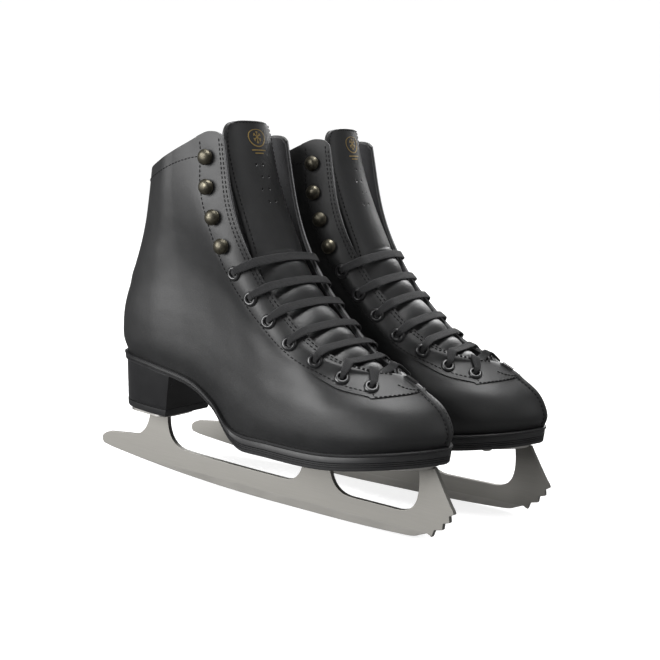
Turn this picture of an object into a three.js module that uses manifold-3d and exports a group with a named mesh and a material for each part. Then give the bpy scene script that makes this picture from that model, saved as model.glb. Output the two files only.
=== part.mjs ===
// A pair of lace-up figure skates: two leather boots, each on its own steel blade.
// Units are millimetres. In a skate's own frame +X is the toe, +Z is up from the ice, y = 0 is the
// blade's mid plane and -Y is the lateral (outer) side. The right skate is drawn, the left mirrors it.
import * as THREE from "three";
import { mergeVertices } from "three/addons/utils/BufferGeometryUtils.js";
import Module from "manifold-3d";

const wasm = await Module();
wasm.setup();

// ---- Driving dimensions -------------------------------------------------------------------------
const bootLength = 265; // heel curve to toe, outside
const bootWidth = 93; // across the ball, outside
const shaftHeight = 163; // heel seat to the front of the collar
const heelHeight = 37; // heel block and top piece, at the breast
const bootRise = 43; // ice to the underside of the forefoot
const leather = 2.0; // quarter leather
const stiffener = 1.5; // heel counter, toe puff and eyelet stay
const liningCloth = 1.2;
const collarFoam = 3.0; // the most padding behind the ankle
const soleFront = 10; // midsole and outsole under the ball
const soleWaist = 4; // and under the waist and the heel seat
const soleEdge = 2; // how far the sole stands out past the upper
const bladeLength = 291;
const bladeThickness = 4;
const runnerDepth = 17; // ice to the runner's upper edge
const rocker = 1250; // radius of the blade's bottom curve
const plateThickness = 2.2;
const eyeletPitch = 20.3; // between lace rows, along the facing
const eyeletRows = 7;
const hookRows = 4;
const facingBehindRow = 8; // hardware row to the lining's front edge
const eyeletBore = 1.9; // radius
const eyeletFlange = 5.0; // radius
const laceWidth = 2.6; // bunched, as it passes the eyelets
const laceThickness = 1.2;
const tongueThickness = 3.5;
const screwShank = 1.7; // radius
const pairSpacing = 100; // between the two blades
const leftAhead = 19; // how far the left skate stands ahead
const leftToeOut = 6.4; // degrees
const gap = 0.3; // between touching pieces
const layerGap = 0.5; // between the layers of the upper and of the sole

// ---- The upper's outer surface ------------------------------------------------------------------
// Each row is a level line from the back seam to the front edge, as [x, half width, z] for a boot of
// REFERENCE size. Rows climb from the featherline to the rim. The front ends run up the toe seam to
// the throat (row 4) and then up the facing's edge to the collar.
const REFERENCE = { length: 265, width: 93, shaft: 163, heel: 37, rise: 43, seat: 86, wall: 6.55 };
const OFFSETS = [
  [[-123, 0, 86], [-112, 20, 86], [-85, 28, 84.5], [-52, 28, 79], [-30, 29.5, 68],
    [-9, 33.5, 52.5], [25, 40.5, 52.5], [70, 43, 54.5], [110, 31, 61], [133.5, 0, 65]],
  [[-128, 0, 96], [-116, 21.5, 96], [-86, 31, 96], [-54, 31, 92], [-31, 33, 84],
    [-6, 37.5, 71], [27, 43.5, 65], [72, 46, 66], [113, 33, 72], [135, 0, 74]],
  [[-129.5, 0, 107], [-117, 22, 108], [-87, 32, 109], [-56, 32, 107], [-32, 34, 101],
    [-5, 38.5, 89], [27, 44, 81], [70, 45.5, 81], [108, 28.5, 86], [128, 0, 86.5]],
  [[-129.5, 0, 116.5], [-117, 22, 118.5], [-88, 32, 120.5], [-58, 32.2, 120.5], [-34, 34, 116.5],
    [-7, 38.5, 105.5], [23, 43, 95], [62, 42.5, 92.5], [96, 23, 95.5], [114, 0, 96]],
  [[-128.3, 0, 125], [-116, 21.5, 127.5], [-88, 31.5, 131], [-60, 32, 132], [-37, 33.8, 130],
    [-11, 38, 120.5], [17, 42.3, 108], [52, 41, 101.5], [79, 23, 103], [97, 0, 104]],
  [[-127, 0, 132], [-114.5, 21, 135], [-88, 31, 140], [-62, 32, 142.5], [-40, 33.8, 141],
    [-15, 37.7, 132.5], [11, 41.8, 119.5], [42, 41.8, 109], [68, 28.5, 107.5], [86, 13, 106]],
  [[-125.5, 0, 139.5], [-113.5, 21, 143], [-88, 31, 149], [-64, 32.3, 152.5], [-43, 34.5, 151.5],
    [-19, 38, 143], [4, 42, 130.5], [29, 42.8, 119], [49, 36.5, 114.5], [65, 23.5, 110.5]],
  [[-122.8, 0, 148.5], [-111, 21, 152.5], [-88, 31.5, 159.5], [-66, 33.3, 163.5], [-47, 36, 163],
    [-26, 39.3, 156], [-7, 42.2, 145.5], [12, 43, 135.5], [27, 39, 130.5], [40, 32, 125.5]],
  [[-119, 0, 160.5], [-108, 21.5, 164.5], [-87, 32, 172], [-68, 34.8, 176], [-52, 37.7, 176.5],
    [-36, 40.7, 172.5], [-21, 42.7, 165.5], [-7, 42.7, 158], [4, 40, 153.5], [14, 35.5, 148.5]],
  [[-115.5, 0, 176], [-105, 22.5, 180], [-86, 33.5, 187.5], [-70, 36.7, 192], [-57, 39.2, 193],
    [-44, 41.3, 191], [-33, 42.3, 187], [-23, 42.3, 182], [-14, 40.8, 177.5], [-6, 38.3, 173.5]],
  [[-112.5, 0, 194], [-103, 23.5, 199], [-86, 34.7, 207], [-73, 37.7, 212], [-62, 39.6, 214],
    [-52, 40.8, 213.5], [-43, 41.3, 211.5], [-35, 41.3, 209], [-27.5, 40.8, 206], [-21, 40, 203]],
  [[-110, 0, 213], [-102, 24, 218], [-87, 34.7, 226], [-75, 37.2, 233], [-65, 38.4, 238.5],
    [-55, 39.2, 244], [-47, 39.6, 248], [-42, 39.7, 249], [-37, 39.6, 248.7], [-33, 39.2, 246]],
];
const THROAT = 4 / (OFFSETS.length - 1); // level of the throat
const LATERAL = -1;
const MEDIAL = 1;

const smooth = THREE.MathUtils.smoothstep;

// Moves a point of the reference boot to where the driving dimensions put it.
function sized([x, w, z]) {
  const heelShare = 1 - smooth(x, -60, 0);
  const above = Math.max(0, z - REFERENCE.seat) * (shaftHeight / REFERENCE.shaft - 1);
  const lift = (heelHeight - REFERENCE.heel) * heelShare + bootRise - REFERENCE.rise;
  return [(x * bootLength) / REFERENCE.length, (w * bootWidth) / REFERENCE.width, z + above + lift];
}

// The medial side is slimmer at the arch and a little at the ball.
function medialTrim([x, w, z]) {
  const low = 1 - smooth(z, 60, 130);
  const arch = 5 * Math.exp(-(((x + 5) / 45) ** 2));
  const ball = 2 * Math.exp(-(((x - 70) / 30) ** 2));
  return [x, w > 0 ? w - (arch + ball) * low : 0, z];
}

const NET = {
  [LATERAL]: OFFSETS.map((row) => row.map(sized)),
  [MEDIAL]: OFFSETS.map((row) => row.map(medialTrim).map(sized)),
};

function spline(a, b, c, d, t) {
  return b.map((_, k) => {
    const slope0 = (c[k] - a[k]) / 2;
    const slope1 = (d[k] - b[k]) / 2;
    const t2 = t * t;
    const t3 = t2 * t;
    const ends = (2 * t3 - 3 * t2 + 1) * b[k] + (3 * t2 - 2 * t3) * c[k];
    return ends + (t3 - 2 * t2 + t) * slope0 + (t3 - t2) * slope1;
  });
}

const beyond = (end, inner) => end.map((e, k) => 2 * e - inner[k]);
const mirrored = ([x, w, z]) => [x, -w, z];

// A smooth line through points at t from 0 to 1. Ends on the mid plane are continued by reflection.
function along(points, t, reflect = false) {
  const last = points.length - 1;
  const u = Math.min(Math.max(t, 0), 1) * last;
  const i = Math.min(Math.floor(u), last - 1);
  const ghost = (end, inner) => (reflect && end[1] === 0 ? mirrored(inner) : beyond(end, inner));
  const before = i > 0 ? points[i - 1] : ghost(points[0], points[1]);
  const after = i < last - 1 ? points[i + 2] : ghost(points[last], points[last - 1]);
  return spline(before, points[i], points[i + 1], after, u - i);
}

// The outer surface at s (0 back seam, 1 front edge) and v (0 featherline, 1 rim).
function surface(side, s, v) {
  const [x, w, z] = along(NET[side].map((row) => along(row, s, true)), v);
  return new THREE.Vector3(x, side * w, z);
}

function outward(side, s, v) {
  const step = 0.004;
  const s0 = Math.max(s - step, 0);
  const s1 = Math.min(s + step, 1);
  const v0 = Math.max(v - step, 0);
  const v1 = Math.min(v + step, 1);
  const forward = surface(side, s1, v).sub(surface(side, s0, v));
  const upward = surface(side, s, v1).sub(surface(side, s, v0));
  return forward.cross(upward).multiplyScalar(-side).normalize();
}

// ---- Solids -------------------------------------------------------------------------------------
function closedMesh(points, faces) {
  const position = new Float32Array(points.flatMap((p) => [p.x, p.y, p.z]));
  const geometry = new THREE.BufferGeometry();
  geometry.setAttribute("position", new THREE.BufferAttribute(position, 3));
  let volume = 0;
  for (const [a, b, c] of faces) {
    volume += points[a].dot(points[b].clone().cross(points[c]));
  }
  geometry.setIndex((volume < 0 ? faces.map(([a, b, c]) => [a, c, b]) : faces).flat());
  return geometry;
}

// A slab between two grids of points with the same columns and rows.
function between(outer, inner, columns, rows, forward = () => true) {
  const count = (columns + 1) * (rows + 1);
  const at = (i, j) => i * (rows + 1) + j;
  const faces = [];
  const quad = (a, b, c, d) => faces.push([a, b, c], [a, c, d]);
  for (let i = 0; i < columns; i++) {
    for (let j = 0; j < rows; j++) {
      const [a, b, c, d] = [at(i, j), at(i + 1, j), at(i + 1, j + 1), at(i, j + 1)];
      if (forward(i)) {
        quad(a, b, c, d);
        quad(count + a, count + d, count + c, count + b);
      } else {
        quad(b, c, d, a);
        quad(count + b, count + a, count + d, count + c);
      }
    }
    quad(at(i, 0), count + at(i, 0), count + at(i + 1, 0), at(i + 1, 0));
    quad(at(i, rows), at(i + 1, rows), count + at(i + 1, rows), count + at(i, rows));
  }
  for (let j = 0; j < rows; j++) {
    quad(at(0, j), at(0, j + 1), count + at(0, j + 1), count + at(0, j));
    quad(at(columns, j), count + at(columns, j), count + at(columns, j + 1), at(columns, j + 1));
  }
  return closedMesh([...outer, ...inner], faces);
}

// The lattice that the upper's layers share: columns crowd together at the heel and toe curves, and
// one row runs through the throat.
const COLUMNS = 14;
const column = (i) => i / COLUMNS - 0.09 * Math.sin((2 * Math.PI * i) / COLUMNS);
const ROW_LEVELS = [0, 1, 2, 3, 4, 4.5, 5, 6, 7, 8, 9, 10, 11];
const top = OFFSETS.length - 1;

// A layer of the upper. area(i, j) gives [side, s, v] of a lattice point, and near and far are its two
// depths in the wall. A layer of one side stops short of the mid plane.
function layer(area, columns, rows, near, far) {
  const halved = area(0, 0)[0] === area(columns, 0)[0];
  const forward = (i) => area(i + 1, 0)[1] >= area(i, 0)[1];
  const faceAt = (depth) => {
    const points = [];
    for (let i = 0; i <= columns; i++) {
      for (let j = 0; j <= rows; j++) {
        const [side, s, v] = area(i, j);
        const p = surface(side, s, v).addScaledVector(outward(side, s, v), -depth(side, s, v));
        if (halved) p.y = side * Math.max(side * p.y, gap / 2);
        points.push(p);
      }
    }
    return points;
  };
  return between(faceAt(near), faceAt(far), columns, rows, forward);
}

function solid(geometry) {
  const bare = new THREE.BufferGeometry();
  bare.setAttribute("position", geometry.getAttribute("position"));
  bare.setIndex(geometry.index);
  const merged = mergeVertices(bare, 1e-4);
  const vertProperties = new Float32Array(merged.attributes.position.array);
  const triVerts = new Uint32Array(merged.index.array);
  return new wasm.Manifold(new wasm.Mesh({ numProp: 3, vertProperties, triVerts }));
}

function geometryOf(made) {
  const mesh = made.getMesh();
  const geometry = new THREE.BufferGeometry();
  geometry.setAttribute("position", new THREE.BufferAttribute(mesh.vertProperties, 3));
  geometry.setIndex(new THREE.BufferAttribute(mesh.triVerts, 1));
  return geometry;
}

function cut(geometry, tools) {
  return geometryOf(tools.reduce((left, tool) => left.subtract(solid(tool)), solid(geometry)));
}

function joined(geometries) {
  return geometryOf(geometries.map(solid).reduce((all, next) => all.add(next)));
}

// A turned piece. The profile is [radius, height] pairs and closes on the axis or on itself.
function turned(profile, segments, place) {
  const points = profile.map(([r, h]) => new THREE.Vector2(r, h));
  const geometry = new THREE.LatheGeometry(points, segments);
  geometry.rotateX(Math.PI / 2);
  geometry.applyMatrix4(place);
  geometry.deleteAttribute("normal");
  geometry.deleteAttribute("uv");
  return mergeVertices(geometry, 1e-4);
}

const hardwareSides = 6;
function drill(radius, from, to, place, sides = hardwareSides) {
  return turned([[0, from], [radius, from], [radius, to], [0, to]], sides, place);
}

// ---- Lace rows ----------------------------------------------------------------------------------
// Eyelets and hooks sit a pitch apart on one line down the facing, given for the reference boot.
const ROW_LINE = [
  [89, 24, 98.6], [67.5, 33, 103.6], [49.5, 38, 111.5], [15, 41, 132.5],
  [-12.5, 42, 159], [-33, 42, 193.5], [-43.8, 41, 234],
];

// The [s, v] of the outer surface that is nearest to a point.
function nearestOn(side, point) {
  let best = { s: 0.8, v: 0.6, away: Infinity };
  for (let reach = 0.4; reach > 1e-4; reach *= 0.5) {
    const around = best;
    for (let i = -6; i <= 6; i++) {
      for (let j = -6; j <= 6; j++) {
        const s = THREE.MathUtils.clamp(around.s + (reach * i) / 6, 0, 1);
        const v = THREE.MathUtils.clamp(around.v + (reach * j) / 6, 0, 1);
        const away = surface(side, s, v).distanceTo(point);
        if (away < best.away) best = { s, v, away };
      }
    }
  }
  return [best.s, best.v];
}

const ROW = ROW_LINE.map(sized).map(([x, w, z]) => nearestOn(1, new THREE.Vector3(x, w, z)));

// The s that lies a given distance behind the row line, on the level v.
function behindRow(v, distance) {
  const steps = 90;
  const line = Array.from({ length: steps + 1 }, (unused, i) => along(ROW, i / steps));
  const [start] = line.reduce((a, b) => (Math.abs(b[1] - v) < Math.abs(a[1] - v) ? b : a));
  const places = line.map(([s, level]) => surface(1, s, level));
  for (let s = start; s > 0; s -= 0.005) {
    const here = surface(1, s, v);
    if (Math.min(...places.map((p) => p.distanceTo(here))) >= distance) return s;
  }
  return 0;
}

function hardwareSpots(side) {
  const at = (t) => {
    const [s, v] = along(ROW, t);
    return { s, v, place: surface(side, s, v) };
  };
  const steps = 240;
  const spots = [];
  let travelled = 0;
  for (let i = 1; i <= steps && spots.length < eyeletRows + hookRows; i++) {
    const [before, here] = [at((i - 1) / steps), at(i / steps)];
    travelled += here.place.distanceTo(before.place);
    if (travelled < spots.length * eyeletPitch) continue;
    const normal = outward(side, here.s, here.v);
    const upFacing = here.place.clone().sub(before.place).normalize();
    const edgeward = upFacing.clone().cross(normal).multiplyScalar(-side).normalize();
    spots.push({ side, ...here, normal, edgeward, upFacing });
  }
  return spots;
}

const SPOTS = { [LATERAL]: hardwareSpots(LATERAL), [MEDIAL]: hardwareSpots(MEDIAL) };

function stand({ normal, edgeward, place }) {
  const third = normal.clone().cross(edgeward);
  return new THREE.Matrix4().makeBasis(edgeward, third, normal).setPosition(place);
}

const eyelets = (side) => SPOTS[side].slice(0, eyeletRows);
const hooks = (side) => SPOTS[side].slice(eyeletRows);

// ---- Upper --------------------------------------------------------------------------------------
const stayDepth = leather + layerGap;
const stayThickness = 0.8;
const stripDepth = stayDepth + stiffener + 3.3 * layerGap;
const stripThickness = 0.9;
const liningStart = stripDepth + 0.8;
const barrelWall = 0.7;
const barrel = eyeletBore + barrelWall;
const flat = (depth) => () => depth;
// Foam swells the lining at the ankle and dies out towards the sole, the facing and the rim.
const padding = (side, s, v) =>
  collarFoam * smooth(v, 0.35, 0.55) * (1 - smooth(v, 0.86, 0.99)) * (1 - smooth(s, 0.35, 0.6));
const liningDepth = (side, s, v) => liningStart + padding(side, s, v);
const holesFor = (side, from) =>
  SPOTS[side].map((spot) => drill(barrel + gap, from, 3, stand(spot)));

function quarter(side) {
  const area = (i, j) => [side, column(i), ROW_LEVELS[j] / top];
  const skin = layer(area, COLUMNS, ROW_LEVELS.length - 1, flat(0), flat(leather));
  return cut(skin, holesFor(side, -leather - 2));
}

// The lining stops behind the facing, and just short of the featherline and the rim.
const LINING_LEVELS = [0.3, 1, 1.8, 2.4, 3, 3.6, 4.3, 5.3, 6.5, 7.7, 8.9, 10, 10.8];
const liningFront = LINING_LEVELS.map((level) => (level < 2.5 ? 1 : behindRow(level / top, facingBehindRow)));
const liningColumns = 12;
function liningAt(side, i, j) {
  const share = i / liningColumns - 0.09 * Math.sin((2 * Math.PI * i) / liningColumns);
  return [side, share * liningFront[j], LINING_LEVELS[j] / top];
}

function lining(side) {
  const area = (i, j) => liningAt(side, i, j);
  const back = (...where) => liningDepth(...where) + liningCloth;
  return layer(area, liningColumns, LINING_LEVELS.length - 1, liningDepth, back);
}

const sideOf = (i) => (i < 0 ? LATERAL : MEDIAL);
const stiffenerBack = flat(stayDepth + stiffener);

const stiffenerFront = flat(stayDepth + 0.2);

// One stiffener right round the heel, between the quarters and the lining.
function heelCounter() {
  const reach = 5;
  const levels = [0.4, 1, 2, 3, 4];
  const area = (i, j) => [sideOf(i - reach), column(Math.abs(i - reach)), levels[j] / top];
  return layer(area, 2 * reach, levels.length - 1, stiffenerFront, stiffenerBack);
}

// The same over the toe, from the featherline to just short of the facing.
function toePuff() {
  const reach = 4;
  const levels = [0.4, 1, 2, 3];
  const area = (i, j) =>
    [sideOf(i - reach), column(COLUMNS - Math.abs(i - reach)), levels[j] / top];
  return layer(area, 2 * reach, levels.length - 1, stiffenerFront, stiffenerBack);
}

// Foam behind the ankle, in front of the lining and shaped like it.
function collarPadding() {
  const reach = 6;
  const [firstLevel, levels] = [7, 4];
  const area = (i, j) => liningAt(sideOf(i - reach), Math.abs(i - reach), firstLevel + j);
  const front = stayDepth + 0.7;
  const back = (...where) => Math.max(liningDepth(...where) - layerGap, front + 0.8);
  return layer(area, 2 * reach, levels, flat(front), back);
}

function eyeletStay(side) {
  const levels = [3.35, 3.6, 4, 4.5, 5, 6, 7, 8, 9, 10, 10.8];
  const rear = levels.map((level) => behindRow(level / top, facingBehindRow - 2));
  const columns = 3;
  const area = (i, j) => [side, rear[j] + ((1 - rear[j]) * i) / columns, levels[j] / top];
  const front = stayDepth + 0.8;
  const strip = layer(area, columns, levels.length - 1, flat(front), flat(front + stayThickness));
  return cut(strip, holesFor(side, -stripDepth - 2));
}

// The tape behind a row of hardware, from a little before its first piece to a little past its last.
function tape(spots) {
  const half = 3.5;
  const face = (depth) =>
    spots.flatMap((spot, i) => {
      const reach = i === 0 ? -half : i === spots.length - 1 ? half : 0;
      const p = spot.place.clone().addScaledVector(spot.normal, -depth).addScaledVector(spot.upFacing, reach);
      return [-half, half].map((sideways) => p.clone().addScaledVector(spot.edgeward, sideways));
    });
  return between(face(stripDepth), face(stripDepth + stripThickness), spots.length - 1, 1);
}

const flangeRise = 0.7; // above the leather's curve, so that a flat flange clears it
const rivetEnd = -(stripDepth + stripThickness / 2);

function eyeletRow(side) {
  const profile = [
    [0, rivetEnd], [barrel, rivetEnd], [barrel, flangeRise], [eyeletFlange, flangeRise],
    [eyeletBore + 1, 1.6], [0, 1.6],
  ];
  const rings = eyelets(side).map((spot) => turned(profile, hardwareSides, stand(spot)));
  const bores = eyelets(side).map((spot) => drill(eyeletBore, -9, 4, stand(spot)));
  return cut(joined([tape(eyelets(side)), ...rings]), bores);
}

function hookRow(side) {
  const profile = [
    [0, rivetEnd], [barrel, rivetEnd], [barrel, flangeRise], [4.6, flangeRise], [1.8, 1.5], [1.8, 3.4],
    [5.2, 3.7], [4.2, 5.6], [0, 6.4],
  ];
  const rivets = hooks(side).map((spot) => turned(profile, hardwareSides, stand(spot)));
  return joined([tape(hooks(side)), ...rivets]);
}

// ---- Tongue -------------------------------------------------------------------------------------
// Its front, down the mid plane, as [x, half width, z] of the reference boot.
const TONGUE_LOWER = [
  [88, 7, 98], [80, 13, 103.5], [68, 20, 110.5], [55, 26.5, 119.5], [43, 30.5, 129],
  [31, 32, 138.5], [20.5, 33, 149], [11, 32, 160], [3.5, 30, 170.5],
];
const TONGUE_UPPER = [
  [0, 30.5, 176], [-6.5, 30, 186], [-12.8, 29.5, 197], [-19.2, 29, 209], [-24.8, 29, 222],
  [-29.4, 29, 234], [-33, 28, 245], [-35, 23, 252], [-36, 12, 256],
];
const archLower = 0.011; // how far the sides fall back from the middle, per mm squared
const archUpper = 0.0075;

const tongueDrop = stripDepth + stripThickness - REFERENCE.wall; // a thicker wall pushes it down

function tonguePanel(points, arch, columns, rows) {
  const line = points.map(sized);
  const faceAt = (depth) => {
    const grid = [];
    for (let i = 0; i <= columns; i++) {
      for (let j = 0; j <= rows; j++) {
        const [x, w, z] = along(line, j / rows);
        const [x0, , z0] = along(line, j / rows - 0.02);
        const [x1, , z1] = along(line, j / rows + 0.02);
        const front = new THREE.Vector3(z1 - z0, 0, x0 - x1).normalize();
        const y = w * ((2 * i) / columns - 1);
        grid.push(new THREE.Vector3(x, y, z).addScaledVector(front, -arch * y * y - depth - tongueDrop));
      }
    }
    return grid;
  };
  return between(faceAt(0), faceAt(tongueThickness), columns, rows);
}

const tongueLower = () => tonguePanel(TONGUE_LOWER, archLower, 6, 9);
const tongueUpper = () => tonguePanel(TONGUE_UPPER, archUpper, 6, 8);

// ---- Lace ---------------------------------------------------------------------------------------
// The point of the facing's edge that is nearest to a spot, and the tongue's middle nearest to that.
function edgeBy(spot) {
  let best = null;
  for (let i = 0; i <= 200; i++) {
    const v = THROAT + ((1 - THROAT) * i) / 200;
    const p = surface(spot.side, 1, v);
    if (!best || p.distanceTo(spot.place) < best.p.distanceTo(spot.place)) best = { p, v };
  }
  return best.p.addScaledVector(outward(spot.side, 1, best.v), 2);
}

function tongueBy(x, z) {
  let best = null;
  const line = TONGUE_LOWER.map(sized);
  for (let i = 0; i <= 200; i++) {
    const [tx, , tz] = along(line, i / 200);
    const away = Math.hypot(tx - x, tz - z);
    if (!best || away < best.away) best = { away, i };
  }
  const [tx, , tz] = along(line, best.i / 200);
  const [x0, , z0] = along(line, best.i / 200 - 0.02);
  const [x1, , z1] = along(line, best.i / 200 + 0.02);
  const front = new THREE.Vector3(z1 - z0, 0, x0 - x1).normalize();
  return new THREE.Vector3(tx, 0, tz).addScaledVector(front, 1.2 + laceThickness);
}

// The lace's way through one eyelet, from inside the boot to the top of the facing.
function throughEyelet({ place, normal, edgeward, upFacing }) {
  const at = (height, towardsEdge, width) => {
    const p = place.clone().addScaledVector(normal, height).addScaledVector(edgeward, towardsEdge);
    return { p, across: upFacing, width };
  };
  const inside = -(stripDepth + stripThickness + 1.6);
  return [at(inside, 0, 1.5), at(2, 0, 1.5), at(3.2, 1.2, 2), at(3.4, 4, laceWidth)];
}

function laceStations() {
  const stations = [];
  for (let row = 0; row < eyeletRows; row++) {
    const first = row % 2 === 0 ? LATERAL : MEDIAL;
    const [a, b] = [SPOTS[first][row], SPOTS[-first][row]];
    const [edgeA, edgeB] = [edgeBy(a), edgeBy(b)];
    const middle = tongueBy((edgeA.x + edgeB.x) / 2, (edgeA.z + edgeB.z) / 2);
    const across = a.upFacing.clone().add(b.upFacing).setY(0).normalize();
    const bar = (p) => ({ p, across, width: laceWidth });
    stations.push(...throughEyelet(a), bar(edgeA));
    stations.push(bar(middle), bar(edgeB), ...throughEyelet(b).reverse());
  }
  return stations;
}

function lace() {
  const stations = laceStations();
  const points = stations.map((station) => station.p);
  const rings = stations.map(({ p, across, width }, i) => {
    const before = points[Math.max(i - 1, 0)];
    const after = points[Math.min(i + 1, points.length - 1)];
    const ahead = after.clone().sub(before).normalize();
    const side = across.clone().addScaledVector(ahead, -across.dot(ahead)).normalize();
    const up = ahead.clone().cross(side);
    return [[-1, -1], [1, -1], [1, 1], [-1, 1]].map(([a, b]) =>
      p.clone().addScaledVector(side, (a * width) / 2).addScaledVector(up, (b * laceThickness) / 2),
    );
  });
  const faces = [[0, 2, 1], [0, 3, 2]];
  for (let i = 0; i < rings.length - 1; i++) {
    for (let k = 0; k < 4; k++) {
      const [a, b] = [4 * i + k, 4 * i + ((k + 1) % 4)];
      faces.push([a, b, b + 4], [a, b + 4, a + 4]);
    }
  }
  const end = 4 * (rings.length - 1);
  faces.push([end, end + 1, end + 2], [end, end + 2, end + 3]);
  return closedMesh(rings.flat(), faces);
}

// ---- Bottom -------------------------------------------------------------------------------------
// The featherline in plan, moved outwards by `out`, from the heel's back to the toe.
function outline(side, out, count) {
  const row = NET[side][0];
  const points = [];
  for (let i = 0; i <= count; i++) {
    const s = i / count;
    const [x, w] = along(row, s, true);
    const [x0, w0] = s > 0.002 ? along(row, s - 0.002, true) : mirrored(along(row, 0.002, true));
    const [x1, w1] = s < 0.998 ? along(row, s + 0.002, true) : mirrored(along(row, 0.998, true));
    const long = Math.hypot(x1 - x0, w1 - w0);
    const px = x - ((w1 - w0) / long) * out;
    const pw = w + ((x1 - x0) / long) * out;
    points.push([px, side * Math.max(pw, 0)]);
  }
  return points;
}

// Height of the featherline over x, the same on both sides.
function featherZ(x) {
  const row = NET[LATERAL][0];
  let [low, high] = [0, 1];
  for (let i = 0; i < 24; i++) {
    const middle = (low + high) / 2;
    if (along(row, middle, true)[0] < x) low = middle;
    else high = middle;
  }
  return along(row, low, true)[2];
}

const lengthScale = bootLength / REFERENCE.length;
const soleThick = (x) =>
  soleWaist + (soleFront - soleWaist) * smooth(x, -24 * lengthScale, 4 * lengthScale);
const soleTop = (x) => featherZ(x) - 1.3;
const soleBottom = (x) => soleTop(x) - soleThick(x);
const midsoleShare = 0.5;
const soleJoint = (x) => soleTop(x) - soleThick(x) * midsoleShare;

// A sheet of the sole: rungs from side to side, with its top and bottom heights given over x.
function ladder(lateral, medial, top, bottom, taper = (p) => p) {
  const rungs = (height, move) =>
    lateral.flatMap(([x, y], i) =>
      [[x, y], medial[i]].map(([px, py]) => {
        const [mx, my] = move([px, py]);
        return new THREE.Vector3(mx, my, height(mx));
      }),
    );
  return between(rungs(top, (p) => p), rungs(bottom, taper), lateral.length - 1, 1);
}

function soleSheet(out, count, top, bottom) {
  const spread = (side) => outline(side, out, count).map(([x, y]) => [x, side * Math.max(side * y, 0.4)]);
  return ladder(spread(LATERAL), spread(MEDIAL), top, bottom);
}

// The straight-sided part of an outline between two places in x.
function clipped(points, from, to) {
  const crossing = (a, b, x) => [x, a[1] + ((b[1] - a[1]) * (x - a[0])) / (b[0] - a[0])];
  const kept = [];
  points.forEach((p, i) => {
    const before = points[i - 1];
    if (before && before[0] < from && p[0] >= from) kept.push(crossing(before, p, from));
    if (p[0] > from && p[0] < to) kept.push(p);
    if (before && before[0] < to && p[0] >= to) kept.push(crossing(before, p, to));
  });
  return kept;
}

const wallInside = leather + stiffener + liningCloth + 3 * gap + 1.5; // upper's wall at the featherline
const shankRise = 0.8;
const shankThickness = 1.2;
const boardRise = shankRise + shankThickness + 2 * layerGap;
const boardThickness = 2.2;
const footbedRise = boardRise + boardThickness + gap;
const footbedThickness = 3;
const lifted = (rise) => (x) => featherZ(x) + rise;

const heelBreast = -69 * lengthScale;
const heelBottom = bootRise + 4; // ice to the top piece
const topPieceThickness = 5;
const heelJoint = heelBottom + topPieceThickness;

const midsole = () => cutForScrews(soleSheet(soleEdge, 24, soleTop, soleJoint));
const outsole = () => cutForScrews(soleSheet(soleEdge, 24, (x) => soleJoint(x) - gap, soleBottom));
const insoleBoard = () =>
  soleSheet(-wallInside, 18, lifted(boardRise + boardThickness), lifted(boardRise));
const footbed = () =>
  soleSheet(-wallInside - 0.5, 18, lifted(footbedRise + footbedThickness), lifted(footbedRise));

function shank() {
  const points = [];
  for (let x = -95; x <= 10; x += 15) points.push(x * lengthScale);
  const side = (y) => points.map((x) => [x, y]);
  return ladder(side(-7), side(7), lifted(shankRise + shankThickness), lifted(shankRise));
}

// The heel narrows downwards, towards a point above its middle.
const heelMiddle = -94 * lengthScale;
const heelTaper = 0.1;
function heelSlice(top, bottom, shrinkTop, shrinkBottom) {
  const shrunk = (share) => ([x, y]) => [heelMiddle + (x - heelMiddle) * (1 - share), y * (1 - share)];
  const edge = (side) =>
    clipped(outline(side, 0.5, 30), -200, heelBreast).map(([x, y]) => [x, side * Math.max(side * y, 0.4)]);
  const count = Math.min(edge(LATERAL).length, edge(MEDIAL).length);
  const topEdge = (side) => edge(side).slice(-count).map(shrunk(shrinkTop));
  const ratio = (1 - shrinkBottom) / (1 - shrinkTop);
  const taper = ([x, y]) => [heelMiddle + (x - heelMiddle) * ratio, y * ratio];
  return ladder(topEdge(LATERAL), topEdge(MEDIAL), top, bottom, taper);
}
const heelBlock = () =>
  cutForScrews(
    heelSlice((x) => soleBottom(Math.min(x, heelBreast)) - gap, flat(heelJoint + gap), 0, heelTaper),
  );
const topPiece = () =>
  cutForScrews(heelSlice(flat(heelJoint), flat(heelBottom), heelTaper, heelTaper + 0.02));

// ---- Blade --------------------------------------------------------------------------------------
const bladeScale = bladeLength / 291;
const stretched = (x) => x * bladeScale;
const rockerFlat = [10, 50].map(stretched); // the runner rests on this stretch
const rockerZ = (x) => {
  const away = Math.max(rockerFlat[0] - x, x - rockerFlat[1], 0);
  return away ** 2 / (2 * rocker);
};
const plateFront = { from: 18 * lengthScale, to: 127 * lengthScale };
const plateHeel = { from: -113 * lengthScale, to: -77 * lengthScale };
const underFront = (x) => soleBottom(x) - 2 * gap - plateThickness;
const underHeel = heelBottom - 2 * gap - plateThickness;

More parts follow.
